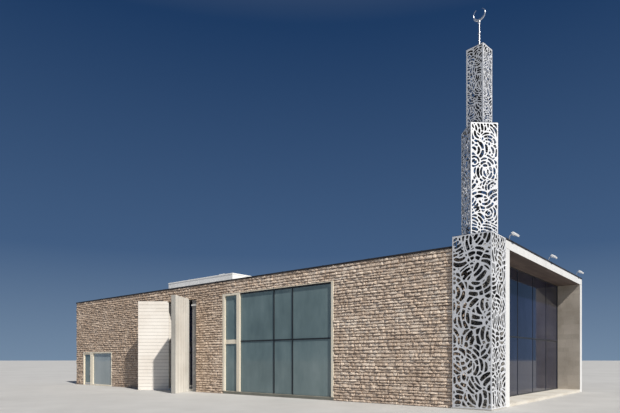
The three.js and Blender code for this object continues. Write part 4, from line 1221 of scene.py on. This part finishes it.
def build_recess():
    """Sawn stone on the west return, boards under the ceiling and the lamp on the jamb."""
    top = RECESS_TOP - 0.001
    inside = SAWN_LEVELS[(SAWN_LEVELS > FLOOR + 0.05) & (SAWN_LEVELS < RECESS_TOP - 0.05)]
    wall = (STREET + 0.002, SCREEN_FRONT - 0.001, FLOOR, top)
    Shell().add(sawn_blocks([wall], np.concatenate([[FLOOR], inside, [top]]), 0.7, 82, 0.010, 0.004),
                east_face(RECESS_WEST)).make("return_courses", SAWN_STONE, "smooth_stone")
    # The ceiling boards are near black: painted shade of the recess.
    rows = [(*part, RECESS_WEST + 0.012, JAMB_WEST - 0.004, -0.002, 0.012)
            for part in strips(STREET + 0.012, SCREEN_FRONT, 8, 0.002)]
    Shell().add(blocks(rows, 0.002, 83), ceiling_face(RECESS_TOP)).make(
        "recess_ceiling_boards", BLACK_BOARDS, "rough_stone")

    u0, u1, v0, v1 = span("entrance_lamp")
    front, back = (corner[1] for corner in ends("entrance_lamp"))
    face, depth = south_face(back), back - front
    rows = [(u0, u1, v0 + 0.02, v1, 0, depth - 0.014), (u0 - 0.004, u1 + 0.004, v1 - 0.012, v1, 0, depth)]
    rim = [(0, depth - 0.016), (0, depth - 0.002), (0.008, depth), (0.014, depth - 0.004),
           (0.014, depth - 0.016)]
    housing = Shell().add(blocks(rows, 0.006), face)
    housing.add(loops([(u0, u1, v0 + 0.016, v1 - 0.016)], rim), face)
    housing.make("jamb_lamp_housing", LAMP_SHELL, "lamp_white", replaces=("entrance_lamp",))
    lens = pane_sheets([(u0 + 0.012, u1 - 0.012, v0 + 0.028, v1 - 0.03)], depth - 0.012, 0.006, 0.004)
    Shell().add(lens, face).make("jamb_lamp_lens", LENS, "lamp_white")


def build_portal():
    """Tooled stone on both cheeks, ceiling boards, white edge cladding, step slabs and the roof sheet, which
    steps up at each lap and lies in shallow waves."""
    inner, outer = PORTAL_GLAZING + 0.004, PORTAL_EAST
    near, far = NEAR_INNER + LINING, FAR_INNER - LINING
    levels = course_levels((FLOOR, SOFFIT), 0.30, 91)
    cheeks = Shell()
    for face, u0, u1, seed in ((south_face(FAR_INNER), inner, outer - 0.012, 92),
                               (north_face(NEAR_INNER), -outer + 0.012, -inner, 93)):
        cheeks.add(sawn_blocks([(u0, u1, FLOOR, SOFFIT)], levels, 0.46, seed, 0.014), face)
    cheeks.make("portal_cheek_stones", CHEEK_STONE, "smooth_stone")

    rows = [(*third, *course, -0.002, 0.018) for course in strips(inner + 0.004, outer - 0.03, 9, 0.003)
            for third in strips(near, far, 3, 0.0015)]
    Shell().add(blocks(rows, 0.003, 94), ceiling_face(SOFFIT)).make(
        "portal_ceiling_boards", BOARDS, "smooth_stone")

    skin = (-0.004, 0.010)
    rows = [(*side, *part, *skin) for side in ((NEAR_OUTER, near), (far, FAR_OUTER))
            for part in strips(0, SOFFIT - 0.002, 3, 0.001)]
    rows += [(*part, SOFFIT - 0.02, SLAB_TOP - 0.014, *skin)
             for part in strips(NEAR_OUTER, FAR_OUTER, 5, 0.001)]
    Shell().add(blocks(rows, 0.003, 95), east_face(PORTAL_EAST)).make(
        "portal_edge_cladding", WHITE_METAL, "white_render")

    rows = [(inner + 0.002, outer + 0.012, *tread, -0.002, 0.014)
            for tread in strips(near - 0.012, far + 0.012, 10, 0.002)]
    Shell().add(blocks(rows, 0.004, 96), level_face(FLOOR)).make(
        "portal_step_slabs", FLOOR_STONE, "white_render")

    u, v = np.meshgrid(np.linspace(PORTAL_WEST, PORTAL_EAST - FLASHING, 4),
                       np.linspace(NEAR_OUTER + FLASHING, FAR_OUTER - FLASHING, 118))
    lap = np.where(np.abs((v / LAP_STEP) % 1 - 0.5) < 0.06, 0.006, 0.0)
    sheet = np.stack([u, v, 0.006 + lap + 0.0015 * np.sin(2.1 * u + 1.3 * v)], -1)[None]
    Shell().add(patches(sheet, -0.002), level_face(SLAB_TOP)).make(
        "portal_roof_sheet", MEMBRANE, "dark_flashing")


# Roof: inside of the parapet behind the wall faces, depth and waves of the gravel, height of the roof box,
# distance between its seams and between the slats of its vent, and the vent's plan

PARAPET = 0.52
GRAVEL_DEPTH = 0.045
WAVES = 14
WAVE_HEIGHT = 0.0016
BOX_HEIGHT = 1.3
SEAM_STEP = 1.9
SLAT_STEP = 0.028
VENT = ((-3.25, -4.90), (-2.75, -4.40))


def box_sides(low, high):
    """The four upright faces of a box, each with the stretch (u0, u1) of its plane that it covers."""
    return ((south_face(low[1]), (low[0], high[0])), (north_face(high[1]), (-high[0], -low[0])),
            (west_face(low[0]), (-high[1], -low[1])), (east_face(high[0]), (low[1], high[1])))


def build_roof():
    """Gravel over the flat roof, its face a sum of seeded waves, and the trims and vent of the roof box."""
    rng = np.random.default_rng(61)
    u, v = np.meshgrid(np.linspace(WEST + PARAPET, PORTAL_WEST - 0.02, 150),
                       np.linspace(STREET + PARAPET, BACK - PARAPET, 72))
    rise = np.zeros_like(u)
    for _ in range(WAVES):
        wave = rng.normal(0, 1, 2) * rng.uniform(1.5, 9)
        rise += np.sin(wave[0] * u + wave[1] * v + rng.uniform(0, 6.3))
    field = np.stack([u, v, GRAVEL_DEPTH + WAVE_HEIGHT * rise], -1)[None]
    Shell().add(patches(field, -0.002), level_face(ROOF)).make("roof_gravel_bed", GRAVEL, "concrete")

    low, high = ends("roof_box")
    top = low[2] + BOX_HEIGHT
    trims = Shell()
    for face, (start, stop) in box_sides(low, high):
        lines = np.linspace(start, stop, max(2, round((stop - start) / SEAM_STEP)) + 1)
        rows = [(x - 0.012, x + 0.012, low[2] + 0.09, top - 0.08, -0.001, 0.004) for x in lines[1:-1]]
        trims.add(blocks(rows, 0.0015), face)
    rim = [(0.014, top - 0.075), (0.018, top - 0.07), (0.018, top + 0.012), (0.012, top + 0.018),
           (-0.12, top + 0.010), (-0.125, top + 0.001), (0.004, top + 0.001), (0.004, top - 0.07)]
    seam = ((low[0] + high[0]) / 2, low[1])
    trims.add(carried(rim, [seam, (low[0], low[1]), (low[0], high[1]), (high[0], high[1]),
                            (high[0], low[1]), seam]))
    for face, (start, stop) in box_sides(*VENT):
        slats = [(start - 0.01, stop + 0.01, z, z + 0.014, -0.001, 0.016)
                 for z in np.arange(top + 0.02, high[2] - 0.03, SLAT_STEP)]
        trims.add(blocks(slats, 0.003), face)
    (x0, y0), (x1, y1) = VENT
    trims.add(blocks([(x0 - 0.03, x1 + 0.03, y0 - 0.03, y1 + 0.03, high[2] - 0.004, high[2] + 0.012)], 0.006))
    trims.make("roof_box_trims", BOX_WHITE, "white_render")


def build_floodlight(node, name):
    """A floodlight: turned foot, a post that bends over in a quarter circle, a yoke, and a tilted head
    of a body, a driver box, cooling fins and a framed lens."""
    low, high = ends(node)
    x, y, foot = low[0] + 0.05, (low[1] + high[1]) / 2, low[2]
    light = Shell()
    light.add(turned([(0.058, foot), (0.060, foot + 0.004), (0.060, foot + 0.012), (0.034, foot + 0.016),
                      (0.030, foot + 0.05), (0.022, foot + 0.055)], (x, y)))
    bend, arm, tilt = 0.11, FLOODLIGHT_ARM - 0.02, 0.6
    angle = np.linspace(0, np.pi / 2, 10)
    bow = np.column_stack([x + bend * (1 - np.cos(angle)), y + 0 * angle, arm - bend + bend * np.sin(angle)])
    post = np.vstack([(x, y, foot + 0.02), (x, y, arm - bend - 0.1), bow, (x + 0.2, y, arm)])
    light.add(tube(post, 0.019, 14, (0, 1, 0)))
    out = np.array([math.cos(tilt), 0, -math.sin(tilt)])
    head = Face((low[0] + 0.15, y, FLOODLIGHT_ARM + 0.03), out, (0, 1, 0))
    body = [(0.02, 0.335, -0.125, 0.125, 0.012, 0.07), (0.05, 0.24, -0.075, 0.075, 0.068, 0.10)]
    fins = [(0.03, 0.325, z - 0.002, z + 0.002, 0.066, 0.086) for z in np.linspace(-0.115, 0.115, 13)]
    yoke = [(0.12, 0.16, -0.139, -0.131, -0.045, 0.05), (0.12, 0.16, 0.131, 0.139, -0.045, 0.05),
            (0.12, 0.16, -0.139, 0.139, -0.049, -0.041)]
    for rows, cut in ((body, 0.008), (fins, 0.001), (yoke, 0.002)):
        light.add(blocks(rows, cut), head)
    front = Face(head.origin, out, (0, -1, 0))
    rim = [(0, -0.03), (0, 0.002), (0.012, 0.004), (0.018, -0.002), (0.018, -0.03)]
    light.add(loops([(0.005, 0.34, -0.13, 0.13)], rim), front)
    light.make(name, LAMP_SHELL, "lamp_white", replaces=(node,))
    Shell().add(pane_sheets([(0.02, 0.325, -0.115, 0.115)], -0.004, 0.006, 0.0015), front).make(
        name + "_lens", LENS, "lamp_white")


# Minaret: gap between plates, places of bolts and decks, heights of the finial's knob and crescent, and
# the crescent's outer and inner radius and the shift between their centres

GAP = 0.0003
BOLT_INSET = 0.024
BOLT_STEP = 0.62
DECK_STEP = 1.25
KNOB = 17.15
CRESCENT_FOOT = 17.21
CRESCENT = (0.285, 0.240, 0.050)


def tier_face(turn, side):
    """The outer plane of one side of a tier, with u = 0 in its middle."""
    angle = math.radians(turn)
    along = np.array([math.cos(angle), math.sin(angle), 0])
    return Face(MINARET + np.cross(along, UP) * side / 2, along)


def build_minaret():
    """Twelve slotted plates, inner posts and rings that carry them, their bolts, and the finial. The
    crescent is a bar along the middle of the gap between an outer circle and a smaller one set higher,
    as thick as the gap is wide."""
    carriers, bolts = Shell(), Shell()
    for tier, (name, side, turn, bottom, top, pitch, patch, cell) in enumerate(TIERS):
        height = top - PLATE - bottom - 2 * GAP
        reach = side / 2 - PLATE - 0.002
        rise = (bottom + 0.001, top - PLATE - 0.001, -PLATE - 0.010, -PLATE - 0.001)
        decks = np.linspace(bottom, top - PLATE, round((top - bottom) / DECK_STEP) + 1)
        rows = [(-reach, -reach + 0.05, *rise), (reach - 0.05, reach - 0.0105, *rise)]
        rows += [(-reach + 0.012, reach - 0.012, z - 0.02, z + 0.02, -PLATE - 0.026, -PLATE - 0.0115)
                 for z in decks[1:-1]]
        for index, compass in enumerate(("south", "east", "north", "west")):
            width = side - (index % 2) * 2 * (PLATE + GAP)
            face = tier_face(turn + 90 * index, side)
            points, faces, crown = slotted_plate(width, height, pitch, patch, cell, 500 + 10 * tier + index)
            tone = 0.2 + 0.6 * ((index * 0.37 + tier * 0.21) % 1)
            Shell().add((points + [-width / 2, bottom + GAP, 0], faces, tone, crown), face).make(
                f"plate_{name}_{compass}", PLATE_STEEL, "steel", replaces=(f"minaret_{name}_{compass}",))
            carriers.add(blocks(rows, 0.002), face)
            for u in (-width / 2 + BOLT_INSET, width / 2 - BOLT_INSET):
                for z in np.arange(bottom + 0.12, top - 0.1, BOLT_STEP):
                    bolts.add(tube([(u, z, w) for w in (-0.001, 0.003, 0.0065, 0.008)],
                                   (0.0105, 0.0105, 0.008, 0.003), 8, (1, 0, 0), UP), face)
    carriers.make("minaret_carriers", DARK_STEEL, "steel")
    bolts.make("minaret_bolts", BRIGHT_STEEL, "steel")

    foot = TIERS[-1][4]
    pole = [(0.13, 0.0005), (0.13, 0.012), (0.06, 0.018), (0.05, 0.06), (0.043, 0.075), (0.042, 0.70),
            (0.052, 0.71), (0.058, 0.74), (0.052, 0.77), (0.041, 0.78)]
    knob = [(0.040, KNOB - 0.05), (0.050, KNOB - 0.035), (0.060, KNOB), (0.050, KNOB + 0.035),
            (0.036, KNOB + 0.05), (0.030, KNOB + 0.085)]
    finial = Shell().add(turned([(radius, foot + z) for radius, z in pole] + knob, MINARET))
    outer, inner, shift = CRESCENT
    tip_z = (outer ** 2 - inner ** 2 + shift ** 2) / (2 * shift)
    tip = math.atan2(tip_z, math.sqrt(outer ** 2 - tip_z ** 2))
    angle = tip - np.linspace(0.02, 0.98, 56) * (math.pi + 2 * tip)
    ray = shift * np.sin(angle) + np.sqrt(inner ** 2 - (shift * np.cos(angle)) ** 2)
    middle, half = (outer + ray) / 2, np.maximum((outer - ray) / 2, 0.003)
    path = np.column_stack([middle * np.cos(angle), 0 * angle,
                            CRESCENT_FOOT + outer + middle * np.sin(angle)])
    flat = np.minimum(0.025, 0.6 * half + 0.006) / half
    finial.add(tube(path + MINARET, half, 14, (0, 1, 0), squeeze=flat))
    finial.make("crescent_finial", BRIGHT_STEEL, "steel", replaces=("minaret_finial",))


# Stage. The picture is 620 pixels wide, and its middle row, horizon and focal length are in pixels too

FLOOR_REACH = 1500.0
FLOOR_DROP = 0.004
SUN_STRENGTH = 4.5
SUN_WIDTH, SUN_AZIMUTH, SUN_HEIGHT = (math.radians(angle) for angle in (1.5, -18, 44.5))
PICTURE_WIDTH = 620
MIDDLE_ROW = 206.5
HORIZON_ROW = 359.8
FOCAL_LENGTH = 510
SENSOR = 36
FAR_CLIP = 5000
EYE = (26.24, -29.85, 2.15)
HEADING = 39.7


def stand(name, data, place=(0, 0, 0), turn=(0, 0, 0)):
    """An object of the stage, at its place and turned about X, Y and Z."""
    item = bpy.data.objects.new(name, data)
    item.location = place
    item.rotation_euler = turn
    bpy.context.scene.collection.objects.link(item)
    return item


def build_stage():
    """Pale floor, one soft key light from the east, blue-grey surround and the camera."""
    mesh = bpy.data.meshes.new("floor")
    corners = [(x * FLOOR_REACH, y * FLOOR_REACH, -FLOOR_DROP)
               for x, y in ((-1, -1), (1, -1), (1, 1), (-1, 1))]
    mesh.from_pydata(corners, [], [(0, 1, 2, 3)])
    mesh.materials.append(finish("pale_floor", [(0.46, 0.45, 0.43), (0.52, 0.51, 0.49), (0.58, 0.57, 0.55)],
                                 patch=0.08, grain=0.6, relief=0.001, rough=(0.7, 0.9)))
    stand("floor", mesh)

    key = bpy.data.lights.new("key", "SUN")
    key.energy = SUN_STRENGTH
    key.angle = SUN_WIDTH
    key.color = (1.0, 0.96, 0.90)
    stand("key", key, turn=(0, math.pi / 2 - SUN_HEIGHT, SUN_AZIMUTH))

    world = bpy.data.worlds.new("surround")
    bpy.context.scene.world = world
    world.use_nodes = True
    graph = world.node_tree
    direction = step(graph, "ShaderNodeTexCoord").outputs["Generated"]
    height = step(graph, "ShaderNodeSeparateXYZ", {0: direction}).outputs[2]
    colour = ramp(graph, height, [(0.0, (0.17, 0.25, 0.36)), (0.2, (0.055, 0.11, 0.22)),
                                  (0.55, (0.013, 0.043, 0.12)), (1.0, (0.22, 0.25, 0.29))])
    background = graph.nodes["Background"].inputs
    graph.links.new(colour, background["Color"])
    background["Strength"].default_value = 1.0
    bpy.context.scene.view_settings.view_transform = "Standard"

    camera = bpy.data.cameras.new("camera")
    camera.sensor_width = SENSOR
    camera.lens = SENSOR * FOCAL_LENGTH / PICTURE_WIDTH
    camera.shift_y = (HORIZON_ROW - MIDDLE_ROW) / PICTURE_WIDTH
    camera.clip_end = FAR_CLIP
    bpy.context.scene.camera = stand("camera", camera, EYE, (math.pi / 2, 0, math.radians(HEADING)))


build_walling()
build_copings()
build_street_window()
build_shop_front()
build_back_windows()
build_portal_window()
build_entrance_screen()
build_doors()
build_west_slab()
build_east_slab()
build_recess()
build_portal()
build_roof()
for side in ("south", "middle", "north"):
    build_floodlight(f"portal_floodlight_{side}", f"floodlight_{side}")
build_minaret()
build_stage()
